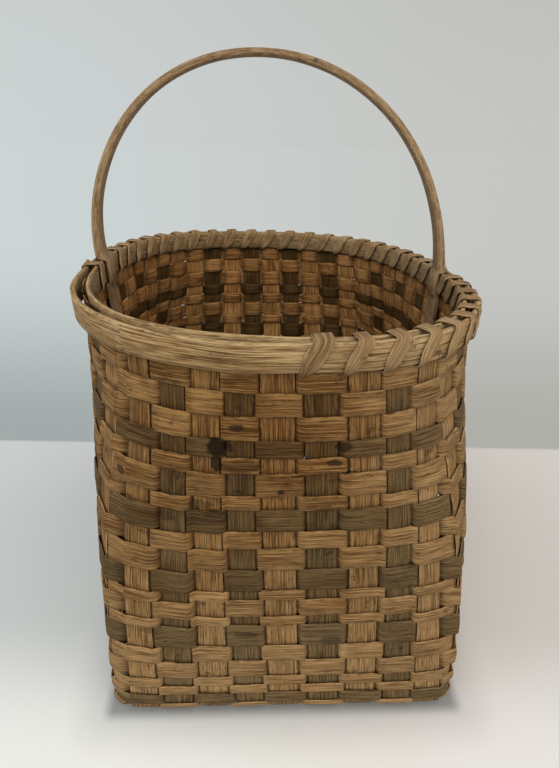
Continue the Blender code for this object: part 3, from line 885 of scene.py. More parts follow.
@dataclass(frozen=True)
class OakFinish:
    """One oak finish: its colours, how strong its grain is and how it shines."""

    slot: Slot
    body: Triple
    pale: Triple
    line: Triple
    deep: Triple
    aged: Triple
    warm: Triple
    # The colour of dirt and of the painted shade
    dirt: Triple = (0.022, 0.013, 0.006)
    seed: float = 0.0
    roughness: float = 0.70
    line_strength: float = 0.82
    pale_strength: float = 0.55
    pore_strength: float = 0.35
    patch_strength: float = 0.45
    warm_strength: float = 0.55
    # Painted light towards the foot and the sides, and painted shade below the rim
    foot_strength: float = 0.28
    rim_tint: Triple = (1.0, 1.0, 1.0)
    # Painted light and shade on the faces towards the inside
    inside_tint: Triple = (1.0, 1.0, 1.0)
    smudge_strength: float = 0.62
    wear_strength: float = 0.65
    # Dirt together with the painted shade in crevices and under edges
    dirt_strength: float = 0.85
    band_strength: float = 0.30
    tone_middle: float = 0.5
    tone_pale: float = 0.8
    tone_deep: float = 0.85
    fibre_middle: float = 0.55
    fibre_polish: float = -0.10
    dirt_roughness: float = 0.20
    smudge_depth: float = 0.3
    specular: float = 0.06
    bump_strength: float = 0.6
    relief: float = 0.0005

    def build(self, groups: OakGroups) -> bpy.types.Material:
        """Make the material.

        Args:
            groups: The shared effects.

        Returns:
            The finished material.
        """
        material = bpy.data.materials.new(self.slot.value + "_look")
        material.use_nodes = True
        sheet = NodeSheet(material.node_tree)
        shader = material.node_tree.nodes["Principled BSDF"]
        marks = sheet.add("ShaderNodeAttribute", attribute_name="marks")
        split = sheet.add("ShaderNodeSeparateColor")
        sheet.feed(split.inputs[0], marks.outputs["Color"])
        tone, edge, grime = split.outputs
        grain_map = sheet.add("ShaderNodeUVMap", uv_map="grain").outputs[0]
        where = sheet.add("ShaderNodeTexCoord").outputs["Object"]
        grain = self.place_group(sheet, groups.grain, Place=grain_map, Seed=self.seed)
        wear = self.place_group(sheet, groups.wear, Place=grain_map, Edge=edge, Grime=grime)
        stains = self.place_group(sheet, groups.stains, Place=where)
        spots = self.place_group(sheet, groups.spots, Place=where)
        colour = sheet.mix(sheet.span(tone, self.tone_middle, 1.0, 0.0, self.tone_pale),
                           self.body, self.pale)
        colour = sheet.mix(sheet.span(tone, 0.0, self.tone_middle, self.tone_deep, 0.0),
                           colour, self.deep)
        layers = (
            (grain["Band"], self.band_strength, self.pale),
            (stains["Patch"], self.patch_strength, self.aged),
            # Warm patches, with painted shade in the front's middle and high on the wall
            (stains["Warm"], self.warm_strength, self.warm),
            # Painted light: paler towards the foot and the sides
            (stains["Foot"], self.foot_strength, self.pale),
            (sheet.span(grain["Fibre"], self.fibre_middle, 0.0), self.line_strength, self.line),
            (sheet.span(grain["Fibre"], self.fibre_middle, 1.0), self.pale_strength, self.pale),
            (grain["Pore"], self.pore_strength, self.line),
            (stains["Smudge"], self.smudge_strength, self.dirt),
            (wear["Worn"], self.wear_strength, self.pale),
            # Dirt together with the painted shade in crevices, under edges and where parts meet
            (wear["Dirt"], self.dirt_strength, self.dirt),
            (spots["Mark"], 1.0, self.dirt))
        for mask, strength, layer in layers:
            colour = sheet.mix(sheet.sum("MULTIPLY", mask, strength), colour, layer)
        # Painted shade: the rim tint darkens the wall away from the foot and the sides
        tint = sheet.mix(stains["Foot"], self.rim_tint, (1.0, 1.0, 1.0))
        # Painted light and shade on the faces towards the inside: lighter on light oak, darker on
        # stained oak
        tint = sheet.mix(marks.outputs["Alpha"], tint, self.inside_tint)
        colour = sheet.mix(1.0, colour, tint, "MULTIPLY")
        sheet.feed(shader.inputs["Base Color"], colour)
        rough = sheet.sum("ADD", sheet.sum("MULTIPLY", grain["Fibre"], self.fibre_polish),
                          sheet.sum("MULTIPLY", wear["Dirt"], self.dirt_roughness))
        rough = sheet.sum("ADD", rough, self.roughness, held=True)
        sheet.feed(shader.inputs["Roughness"], rough)
        shader.inputs["Specular IOR Level"].default_value = self.specular
        bump = sheet.add("ShaderNodeBump")
        bump.inputs["Strength"].default_value = self.bump_strength
        bump.inputs["Distance"].default_value = self.relief
        height = sheet.sum("SUBTRACT", grain["Height"],
                           sheet.sum("MULTIPLY", stains["Smudge"], self.smudge_depth))
        sheet.feed(bump.inputs["Height"], height)
        sheet.feed(shader.inputs["Normal"], bump.outputs["Normal"])
        return material

    @staticmethod
    def place_group(sheet: NodeSheet, tree: bpy.types.NodeTree,
                    **given: object) -> bpy.types.bpy_prop_collection:
        """Place a shared group and feed its inputs.

        Args:
            sheet: Where it goes.
            tree: The group.
            given: Its inputs' values or sockets, by name.

        Returns:
            Its outputs.
        """
        node = sheet.add("ShaderNodeGroup", node_tree=tree)
        for name, value in given.items():
            sheet.feed(node.inputs[name], value)
        return node.outputs


FINISHES = (
    OakFinish(Slot.LIGHT, body=(0.168, 0.088, 0.030), pale=(0.43, 0.272, 0.122),
              line=(0.052, 0.022, 0.006), deep=(0.090, 0.040, 0.010),
              aged=(0.115, 0.074, 0.033), warm=(0.125, 0.050, 0.011),
              rim_tint=(0.78, 0.69, 0.55), inside_tint=(1.30, 1.10, 0.88)),
    OakFinish(Slot.STAINED, body=(0.075, 0.044, 0.015), pale=(0.205, 0.138, 0.064),
              line=(0.022, 0.013, 0.004), deep=(0.042, 0.023, 0.007),
              aged=(0.085, 0.066, 0.036), warm=(0.100, 0.048, 0.013), seed=31.0,
              rim_tint=(0.72, 0.64, 0.52), inside_tint=(0.62, 0.54, 0.40),
              roughness=0.72),
    OakFinish(Slot.HOOP, body=(0.330, 0.205, 0.080), pale=(0.55, 0.39, 0.20),
              line=(0.085, 0.040, 0.013), deep=(0.170, 0.085, 0.027),
              aged=(0.200, 0.130, 0.060), warm=(0.230, 0.110, 0.034), seed=57.0,
              roughness=0.66, line_strength=0.95),
    OakFinish(Slot.LASHING, body=(0.250, 0.155, 0.070), pale=(0.44, 0.30, 0.155),
              line=(0.075, 0.040, 0.015), deep=(0.130, 0.072, 0.028),
              aged=(0.140, 0.096, 0.050), warm=(0.190, 0.095, 0.034), seed=73.0,
              line_strength=0.6),
    OakFinish(Slot.HANDLE, body=(0.225, 0.140, 0.066), pale=(0.40, 0.275, 0.155),
              line=(0.080, 0.044, 0.019), deep=(0.120, 0.067, 0.030),
              aged=(0.140, 0.092, 0.050), warm=(0.170, 0.088, 0.035), seed=91.0,
              roughness=0.58, line_strength=0.55, relief=0.0003),
)


class Dresser:
    """Gives each new piece the finish of its slot and its body, and hides the node that it stands
    for.
    """

    def __init__(self) -> None:
        """Build the finishes."""
        groups = OakGroups()
        self.materials = {finish.slot: finish.build(groups) for finish in FINISHES}

    def dress(self, strip: Strip, name: str, node: str, slot: Slot) -> bpy.types.Object:
        """Build a strip as the piece that stands for a node.

        Args:
            strip: The piece's shape.
            name: The piece's name.
            node: The node that it replaces.
            slot: The slot that its finish comes from.

        Returns:
            The finished piece.
        """
        piece = strip.build(name, self.materials[slot])
        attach(piece, "root")
        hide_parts(node)
        log.info("%s: %d faces, %s", name, len(piece.data.polygons), slot.value)
        return piece


# Splints

@dataclass
class Rows:
    """The twenty-one rows of weavers, counted from the rim down."""

    wall: Wall
    hoop_underside: float = 0.0178
    row_gap: float = -0.0002
    height_shares: tuple[float, ...] = (
        0.72, 0.86, 0.90, 0.68, 0.63, 0.95, 0.59, 0.99, 0.81, 1.04,
        1.08, 0.50, 0.90, 0.50, 1.22, 0.93, 1.00, 0.60, 0.54, 0.66, 0.25)
    dark: tuple[int, ...] = (4, 8, 11, 15, 20)

    def spans(self) -> list[tuple[float, float]]:
        """Return each row's lower and upper share of the rise.

        Returns:
            The pairs of shares, from the rim down.
        """
        top = self.wall.share_below(self.hoop_underside)
        unit_share = top / sum(self.height_shares)
        edges = top - np.concatenate(([0.0], np.cumsum(self.height_shares))) * unit_share
        gap = self.row_gap / self.wall.rise / 2
        return [(low + gap, high - gap) for high, low in zip(edges[:-1], edges[1:])]


@dataclass
class Weavers:
    """The splints that run round the wall, one over and one under."""

    uprights: Uprights
    rows: Rows
    thickness: float = 0.0009
    crown: float = 0.0005
    edge_wave: float = 0.0004
    dive: float = 0.58
    rest: float = 0.80
    lift: float = 0.0009
    over: tuple[float, ...] = (-1.0, -0.85, -0.5, 0.0, 0.5, 0.85, 1.0)
    between: tuple[float, ...] = (0.06, 0.16, 0.32, 0.5, 0.68, 0.84, 0.94)
    corner_steps: int = 11
    over_sag: float = 0.05
    end_share: float = 0.5
    place_reach: float = 0.5
    gap_start: float = 0.4
    gap_reach: float = 0.2
    edge_waves: int = 9
    lift_waves: int = 11
    tone_waves: int = 5
    tone_wave: float = 0.25
    tone_cell: float = 0.60
    tone_row: float = 0.25
    tone_reach: int = 2
    # Painted shade where the weaver dives under a stake, at the ends of its stretches under a stake
    # and along its lower edge
    gap_grime: float = 0.95
    gap_power: float = 2.2
    under_grime: float = 0.6
    ledge_grime: float = 0.55
    ledge_power: int = 6
    upper_seed: float = 1.3
    lower_seed: float = 2.7
    lower_shift: float = 40
    lift_seed: float = 5.1
    lift_shift: float = 9
    tone_seed: float = 8.8
    row_seed: float = 19.7
    cell_seeds: tuple[float, float] = (7.7, 3.1)
    grain_shift: tuple[float, float] = (3.37, 0.11)
    profile: Profile = field(default_factory=Profile)

    def stations(self) -> np.ndarray:
        """Return the stations round one row.

        Returns:
            One line per station: the upright, its place over it as a share of the half
            width, and its share of the gap that follows, or -1 over the upright.
        """
        found = []
        half = self.uprights.count // 2
        corners = (self.uprights.long_stakes - 1, half - 1)
        for number in range(self.uprights.count):
            found += [(number, place, -1.0) for place in self.over]
            gaps = self.between
            if number % half in corners:
                gaps = np.arange(1, self.corner_steps) / self.corner_steps
            found += [(number, 1.0, gap) for gap in gaps]
        return np.array(found)

    def surface(self, stations: np.ndarray, share: np.ndarray) -> tuple[np.ndarray, ...]:
        """Return the wall's points and outward directions at a row's stations.

        Args:
            stations: The stations round the row.
            share: The share of the rise at each station.

        Returns:
            The points and the outward directions.
        """
        uprights = self.uprights
        here = stations[:, 0].astype(int)
        there = (here + 1) % uprights.count
        place, gap = stations[:, 1:2], stations[:, 2:3]
        middle, tangent, normal, width = uprights.band(here, share)
        points = middle + tangent * place * width[:, None] / 2
        after, beyond, turned, reach = uprights.band(there, share)
        ends = after - beyond * reach[:, None] / 2
        angle = uprights.angle[here] + uprights.spread[here] * share
        ahead = uprights.angle[there] + uprights.spread[there] * share
        ahead = ahead + FULL_TURN * np.round((angle - ahead) / FULL_TURN)
        bow = 2 * uprights.wall.point((angle + ahead) / 2, share) - (points + ends) / 2
        half = uprights.count // 2
        at_corner = np.isin(here % half, (uprights.long_stakes - 1, half - 1))[:, None]
        bow = np.where(at_corner, bow, (points + ends) / 2)
        step = np.clip(gap, 0.0, 1.0)
        crossing = points * (1 - step) ** 2 + bow * 2 * step * (1 - step) + ends * step ** 2
        facing = unit(normal * (1 - step) + turned * step)
        return np.where(gap < 0, points, crossing), np.where(gap < 0, normal, facing)

    def strip(self, row: int, low: float, high: float) -> Strip:
        """Return the shape of one row.

        Args:
            row: The row's number from the rim down.
            low: The share of the rise at its lower edge.
            high: The share of the rise at its upper edge.

        Returns:
            The closed strip.
        """
        wall = self.uprights.wall
        stations = self.stations()
        here = stations[:, 0].astype(int)
        sign = np.where((here + row) % 2 == 0, 1.0, -1.0)
        gap = np.clip(stations[:, 2], 0.0, 1.0)
        from_top = np.where(sign > 0, gap, 1 - gap)
        dived = blend_step((from_top - self.dive) / (1 - self.dive))
        near_end = blend_step((np.abs(stations[:, 1]) - self.end_share) / (1 - self.end_share))
        resting = sign + np.where(sign > 0, -self.over_sag, 1 - self.rest) * near_end
        start = 1 - self.over_sag
        in_gap = stations[:, 2] >= 0
        swing = np.where(in_gap, start - (start + self.rest) * dived, resting)
        centre = here + np.where(in_gap, self.gap_start + self.gap_reach * gap,
                                 self.place_reach * stations[:, 1])
        turn = centre * FULL_TURN / self.uprights.count
        middle, half = (low + high) / 2, (high - low) / 2
        shares, heights = self.profile.offsets(self.thickness / 2, 0.0)
        wave = self.edge_wave / wall.rise
        upper = wave * wander(turn * self.edge_waves, row * self.upper_seed)
        lower = wave * wander(turn * self.edge_waves, row * self.lower_seed + self.lower_shift)
        lifted = wander(turn * self.lift_waves, row * self.lift_seed + self.lift_shift)
        loose = self.lift * np.clip(lifted, 0.0, 1.0)
        loops = []
        for place, height in zip(shares, heights):
            edge_shift = np.where(place > 0, upper * place, -lower * place)
            share = middle + half * place + edge_shift
            points, facing = self.surface(stations, share)
            proud = wall.weave_offset * swing + height
            proud = proud + self.crown * swing * (1 - place ** 2)
            proud = proud + loose * np.clip(swing, 0, 1) * place ** 2
            loops.append(points + facing * proud[:, None])
        loops = np.stack(loops, axis=1)
        middle_line = loops[:, len(self.profile.fractions) // 2]
        along = travelled(np.concatenate((middle_line, middle_line[:1])))
        # Painted shade where the weaver dives under a stake, at the ends of its stretches under a
        # stake and along its lower edge
        grime = np.where(in_gap, self.gap_grime * dived ** self.gap_power,
                         np.where(sign < 0, self.under_grime * near_end, 0.0))
        ledge = self.ledge_grime * np.clip(-shares, 0, 1) ** self.ledge_power
        length_shift, width_shift = self.grain_shift
        return Strip(loops, along + row * length_shift,
                     self.profile.across((high - low) * wall.rise) + row * width_shift,
                     self.tone(row, here, turn)[:, None], self.profile.edge()[None, :],
                     np.clip(grime[:, None] + ledge[None, :], 0, 1), closed=True,
                     inward=self.profile.inward())

    def tone(self, row: int, here: np.ndarray, turn: np.ndarray) -> np.ndarray:
        """Return how pale a row is, which changes from one crossing to the next.

        Args:
            row: The row's number from the rim down.
            here: The upright at each station.
            turn: The angle round the basket at each station.

        Returns:
            The tone at each station.
        """
        here_seed, row_seed = self.cell_seeds
        cell = chance(here * here_seed + row * row_seed)
        tone = 0.5 + self.tone_wave * wander(turn * self.tone_waves, row * self.tone_seed)
        tone = tone + self.tone_cell * (cell - 0.5)
        tone = tone + self.tone_row * (chance(row * self.row_seed) - 0.5)
        reach = self.tone_reach
        smooth = np.concatenate((tone[-reach:], tone, tone[:reach]))
        count = 2 * reach + 1
        return np.clip(np.convolve(smooth, np.ones(count) / count, "valid"), 0, 1)

    def dress(self, dresser: Dresser) -> None:
        """Build and finish every row.

        Args:
            dresser: What finishes them.
        """
        for index, (low, high) in enumerate(self.rows.spans()):
            row = index + 1
            slot = Slot.STAINED if row in self.rows.dark else Slot.LIGHT
            dresser.dress(self.strip(row, low, high), f"oak_weaver_{row:02d}",
                          f"weaver_{row:02d}", slot)


@dataclass
class Stakes:
    """The long and the cross stakes: down one wall, over the base and up the other."""

    uprights: Uprights
    rows: Rows
    thickness: float = 0.0010
    crown: float = 0.0003
    wave: float = 0.0004
    top_drop: float = 0.0010
    ragged_top: float = 0.0016
    wall_step: float = 0.0030
    base_step: float = 0.0032
    bend_steps: int = 8
    crossing_reach: float = 0.0012
    # Painted shade along the row edges that cross the stake, in the bend, over the base and where a
    # cross stake passes under a long stake
    crossing_grime: float = 0.45
    bend_grime: float = 0.35
    base_grime: float = 0.2
    hidden_grime: float = 0.6
    flat_share: float = 0.85
    tone_wave: float = 0.35
    tone_waves: int = 14
    tone_vary: float = 0.3
    base_tone: float = 0.38
    base_tone_wave: float = 0.2
    base_tone_waves: int = 20
    top_seed: float = 3.9
    wave_seed: float = 2.3
    tone_seed: float = 5.3
    base_seeds: tuple[float, float] = (90, 70)
    grain_shift: tuple[float, float] = (2.77, 0.13)
    profile: Profile = field(default_factory=Profile)

    def wall_line(self, number: int) -> dict[str, np.ndarray]:
        """Return one stake end's line from its top down to its foot.

        Args:
            number: Which upright it is.

        Returns:
            The line's middles, side and outward directions, widths, tones and grime.
        """
        wall = self.uprights.wall
        drop = self.top_drop + self.ragged_top * chance(number * self.top_seed)
        top = wall.share_below(drop)
        share = np.linspace(top, 0.0, int(wall.rise / self.wall_step))
        middle, tangent, normal, width = self.uprights.band(np.full(len(share), number), share)
        spans = self.rows.spans()
        centres = np.array([(low + high) / 2 for low, high in spans])
        signs = np.array([1.0 if (number + row + 1) % 2 == 0 else -1.0
                          for row in range(len(spans))])
        centres = np.concatenate(([1.0, wall.share_below(wall.hoop_height)], centres, [0.0]))
        signs = np.concatenate(([0.0, 0.0], signs, [0.0]))
        pushed = np.interp(-share, -centres, signs)
        edges = np.array([low for low, _ in spans] + [spans[0][1]])
        near = np.min(np.abs(share[:, None] - edges[None, :]), axis=1) * wall.rise
        # Painted shade where the rows' edges cross the stake
        grime = self.crossing_grime * np.exp(-(near / self.crossing_reach) ** 2)
        tone = 0.5 + self.tone_wave * wander(share * self.tone_waves, number * self.wave_seed)
        tone = tone + self.tone_vary * (chance(number * self.tone_seed) - 0.5)
        return {"middle": middle - normal * (self.wave * pushed)[:, None], "side": tangent,
                "out": normal, "width": width, "tone": tone, "grime": grime}

    def bend_line(self, number: int, axis: np.ndarray) -> dict[str, np.ndarray]:
        """Return the bend that turns a stake end from the wall into the base.

        Args:
            number: Which upright it is.
            axis: The outward direction in plan that the stake bends from.

        Returns:
            The line's middles, directions, widths, tones and grime.
        """
        wall = self.uprights.wall
        middle, tangent, _, width = (item[0] for item in self.uprights.band(
            np.array([number]), np.zeros(1)))
        square = np.array((-axis[1], axis[0], 0.0))
        share = np.arange(1, self.bend_steps + 1)[:, None] / self.bend_steps
        turn = share * QUARTER_TURN
        side = unit(tangent * (1 - share) + square * share)
        level = np.stack((side[:, 1], -side[:, 0], np.zeros(len(side))), -1)
        up = np.array((0.0, 0.0, 1.0))
        out = level * np.cos(turn) - up * np.sin(turn)
        place = np.array((middle[0], middle[1], 0.0)) - axis * wall.bend_radius * (
            1 - np.cos(turn))
        place = place + up * (wall.base_level + wall.bend_radius * (1 - np.sin(turn)))
        count = len(share)
        return {"middle": place, "side": side, "out": out, "width": np.full(count, width),
                "tone": np.full(count, 0.5), "grime": np.full(count, self.bend_grime)}

    def base_line(self, start: np.ndarray, end: np.ndarray, side: np.ndarray,
                  widths: tuple[float, float], row: int | None) -> dict[str, np.ndarray]:
        """Return a stake's line over the base.

        Args:
            start: Where the near bend ends.
            end: Where the far bend starts.
            side: The direction across the stake.
            widths: The stake's width at the two ends.
            row: The cross stake's number, or None for a long stake.

        Returns:
            The line's middles, directions, widths, tones and grime.
        """
        uprights = self.uprights
        count = int(np.linalg.norm(end - start) / self.base_step)
        share = np.linspace(0, 1, count + 2)[1:-1]
        middle = start + (end - start) * share[:, None]
        grime = np.full(count, self.base_grime)
        if row is not None:
            pitch = uprights.long_pitch
            column = (middle[:, 0] - self.uprights.wall.set_left) / pitch + uprights.long_middle
            cell = np.clip(np.round(column), 0, uprights.long_stakes - 1)
            away = np.abs(column - cell) * pitch
            flat = (pitch - uprights.long_gap) / 2
            parity = (cell + row + uprights.long_middle + uprights.cross_middle) % 2
            over = np.where(parity == 0, -1.0, 1.0)
            level = flat * self.flat_share
            fade = 1 - blend_step((away - level) / (pitch / 2 - level))
            middle[:, 2] += over * self.uprights.wall.weave_offset * fade
            # Painted shade where the cross stake passes under a long stake, over the even shade of
            # the base
            grime = self.base_grime + self.hidden_grime * (1 - fade)
        down = np.tile((0.0, 0.0, -1.0), (count, 1))
        seed = start[0] * self.base_seeds[0] + start[1] * self.base_seeds[1]
        tone = self.base_tone + self.base_tone_wave * wander(share * self.base_tone_waves, seed)
        return {"middle": middle, "side": np.tile(side, (count, 1)), "out": down,
                "width": widths[0] + (widths[1] - widths[0]) * share,
                "tone": tone, "grime": grime}

    def strip(self, near: int, far: int, axis: Triple,
              row: int | None) -> Strip:
        """Return the shape of one whole stake.

        Args:
            near: The upright at its near end.
            far: The upright at its far end.
            axis: The outward direction in plan at its near end.
            row: The cross stake's number, or None for a long stake.

        Returns:
            The open strip.
        """
        way = np.array(axis)
        down, bend = self.wall_line(near), self.bend_line(near, way)
        up, back = self.wall_line(far), self.bend_line(far, -way)
        for line in (up, back):
            for name in line:
                line[name] = line[name][::-1]
            line["side"] = -line["side"]
        base = self.base_line(bend["middle"][-1], back["middle"][0], bend["side"][-1],
                              (bend["width"][-1], back["width"][0]), row)
        whole = {name: np.concatenate([line[name] for line in (down, bend, base, back, up)])
                 for name in down}
        shares, heights = self.profile.offsets(self.thickness / 2, self.crown)
        loops = (whole["middle"][:, None]
                 + whole["side"][:, None] * (whole["width"][:, None] * shares / 2)[..., None]
                 + whole["out"][:, None] * heights[None, :, None])
        length_shift, width_shift = self.grain_shift
        return Strip(loops, travelled(whole["middle"]) + near * length_shift,
                     self.profile.across(float(whole["width"].mean())) + near * width_shift,
                     np.clip(whole["tone"], 0, 1)[:, None], self.profile.edge()[None, :],
                     whole["grime"][:, None], inward=self.profile.inward())

    def dress(self, dresser: Dresser) -> None:
        """Build and finish every stake, every second one stained dark.

        Args:
            dresser: What finishes them.
        """
        uprights = self.uprights
        half = uprights.count // 2
        for number in range(uprights.long_stakes):
            strip = self.strip(number, half + uprights.long_stakes - 1 - number,
                               (0.0, -1.0, 0.0), None)
            slot = Slot.STAINED if number % 2 else Slot.LIGHT
            dresser.dress(strip, f"oak_long_stake_{number + 1}",
                          f"long_stake_{number + 1}", slot)
        for number in range(uprights.cross_stakes):
            strip = self.strip(uprights.long_stakes + number, uprights.count - 1 - number,
                               (1.0, 0.0, 0.0), number)
            slot = Slot.STAINED if number % 2 else Slot.LIGHT
            dresser.dress(strip, f"oak_cross_stake_{number + 1:02d}",
                          f"cross_stake_{number + 1:02d}", slot)


# The rim

@dataclass
class Hoops:
    """The outer and the inner rim hoop, shaved round on their outward faces."""

    uprights: Uprights
    slim_inside: float = 0.0011
    slim_outside: float = 0.0008
    corner: float = 0.0015
    belly: float = 0.0006
    spring: float = 0.0018
    wave: float = 0.0005
    stations: int = 480
    section_steps: int = 5
    corner_share: float = 0.8
    free_from: float = 41
    free_rise: float = 3
    free_until: float = 2.5
    free_fall: float = 2.5
    thin_vary: float = 0.06
    thin_waves: int = 6
    side_share: float = 0.4
    side_waves: int = 5
    level_waves: int = 4
    tone_middle: float = 0.58
    tone_wave: float = 0.3
    tone_waves: int = 7
    low_share: float = 0.82
    low_fade_share: float = 0.25
    # Painted shade along the hoop's low edge and on its inner face
    low_grime: float = 0.5
    inside_grime: float = 0.25
    edge_share: float = 0.85
    edge_wear: float = 0.9
    thin_shift: float = 3
    level_shift: float = 9
    tone_shift: float = 20
    outer_seed: float = 1.0
    inner_seed: float = 2.0

    def section(self, inner: float, outer: float) -> np.ndarray:
        """Return a hoop's outline as distances out from the wall and down from its top.

        Args:
            inner: How far out its inner face lies.
            outer: How far out its outer face lies.

        Returns:
            The outline's corners, seam on the inner face.
        """
        middle = (inner + outer) / 2
        half = (outer - inner) / 2
        corner = min(self.corner, half * self.corner_share)
        straight = self.uprights.wall.hoop_height - 2 * corner
        found = []
        for number, (side, down) in enumerate(((1, 0), (1, 1), (-1, 1), (-1, 0))):
            for step in range(self.section_steps):
                angle = QUARTER_TURN * (1 - number - step / (self.section_steps - 1))
                x = middle + side * (half - corner) + corner * math.cos(angle)
                z = -corner - down * straight + corner * math.sin(angle)
                found.append((x, z))
        return np.array(found)

    def strip(self, inner: float, outer: float, seed: float, bowed: float) -> Strip:
        """Return the shape of one hoop.

        Args:
            inner: How far out its inner face lies.
            outer: How far out its outer face lies.
            seed: Which wander it has.
            bowed: How far its free stretch stands off, at the front left.

        Returns:
            The closed strip.
        """
        wall, count = self.uprights.wall, self.uprights.count
        height = wall.hoop_height
        outline = self.section(inner, outer)
        place = np.arange(self.stations) * count / self.stations
        turn = place * FULL_TURN / count
        before = 1 - blend_step((place - self.free_until) / self.free_fall)
        free = np.clip(blend_step((place - self.free_from) / self.free_rise) + before, 0, 1)
        loops = []
        middle = (outline[:, 1].min() + outline[:, 1].max()) / 2
        for out, down in outline:
            share = np.full(len(place), wall.share_below(min(-down, height)))
            points, facing = self.uprights.rim_frame(place, share)
            rounded = self.belly * (1 - ((down - middle) / middle) ** 2)
            swell = rounded if out > (inner + outer) / 2 else 0.0
            thin = 1 + self.thin_vary * wander(turn * self.thin_waves, seed + self.thin_shift)
            sideways = self.wave * self.side_share * wander(turn * self.side_waves, seed)
            proud = out * thin + swell + bowed * free + sideways
            points = points + facing * proud[:, None]
            points[:, 2] += wall.hoop_lift * (1 + down / height)
            points[:, 2] += self.wave * wander(turn * self.level_waves, seed + self.level_shift)
            loops.append(points)
        loops = np.stack(loops, axis=1)
        along = travelled(np.concatenate((loops[:, 0], loops[:1, 0])))
        closed_outline = np.concatenate((outline, outline[:1]))
        across = travelled(closed_outline)
        tone = self.tone_middle + self.tone_wave * wander(
            turn * self.tone_waves, seed + self.tone_shift)
        # Painted shade along the hoop's low edge and on its inner face
        grime = np.clip((-outline[:, 1] - height * self.low_share)
                        / (height * self.low_fade_share), 0, self.low_grime)
        grime = grime + self.inside_grime * (outline[:, 0] < (inner + outer) / 2)
        at_edge = np.abs(outline[:, 1] - middle) > -middle * self.edge_share
        return Strip(loops, along + seed, across, np.clip(tone, 0, 1)[:, None],
                     np.where(at_edge, self.edge_wear, 0.0)[None, :], grime[None, :],
                     closed=True)

    def dress(self, dresser: Dresser) -> None:
        """Build and finish both hoops.

        Args:
            dresser: What finishes them.
        """
        wall = self.uprights.wall
        near, far = wall.hoop_offset, wall.hoop_offset + wall.hoop_thickness
        outer = self.strip(near + self.slim_inside, far, self.outer_seed, self.spring)
        inner = self.strip(self.slim_outside - far, -near - self.slim_inside,
                           self.inner_seed, 0.0)
        dresser.dress(outer, "oak_outer_rim_hoop", "outer_rim_hoop", Slot.HOOP)
        dresser.dress(inner, "oak_inner_rim_hoop", "inner_rim_hoop", Slot.HOOP)


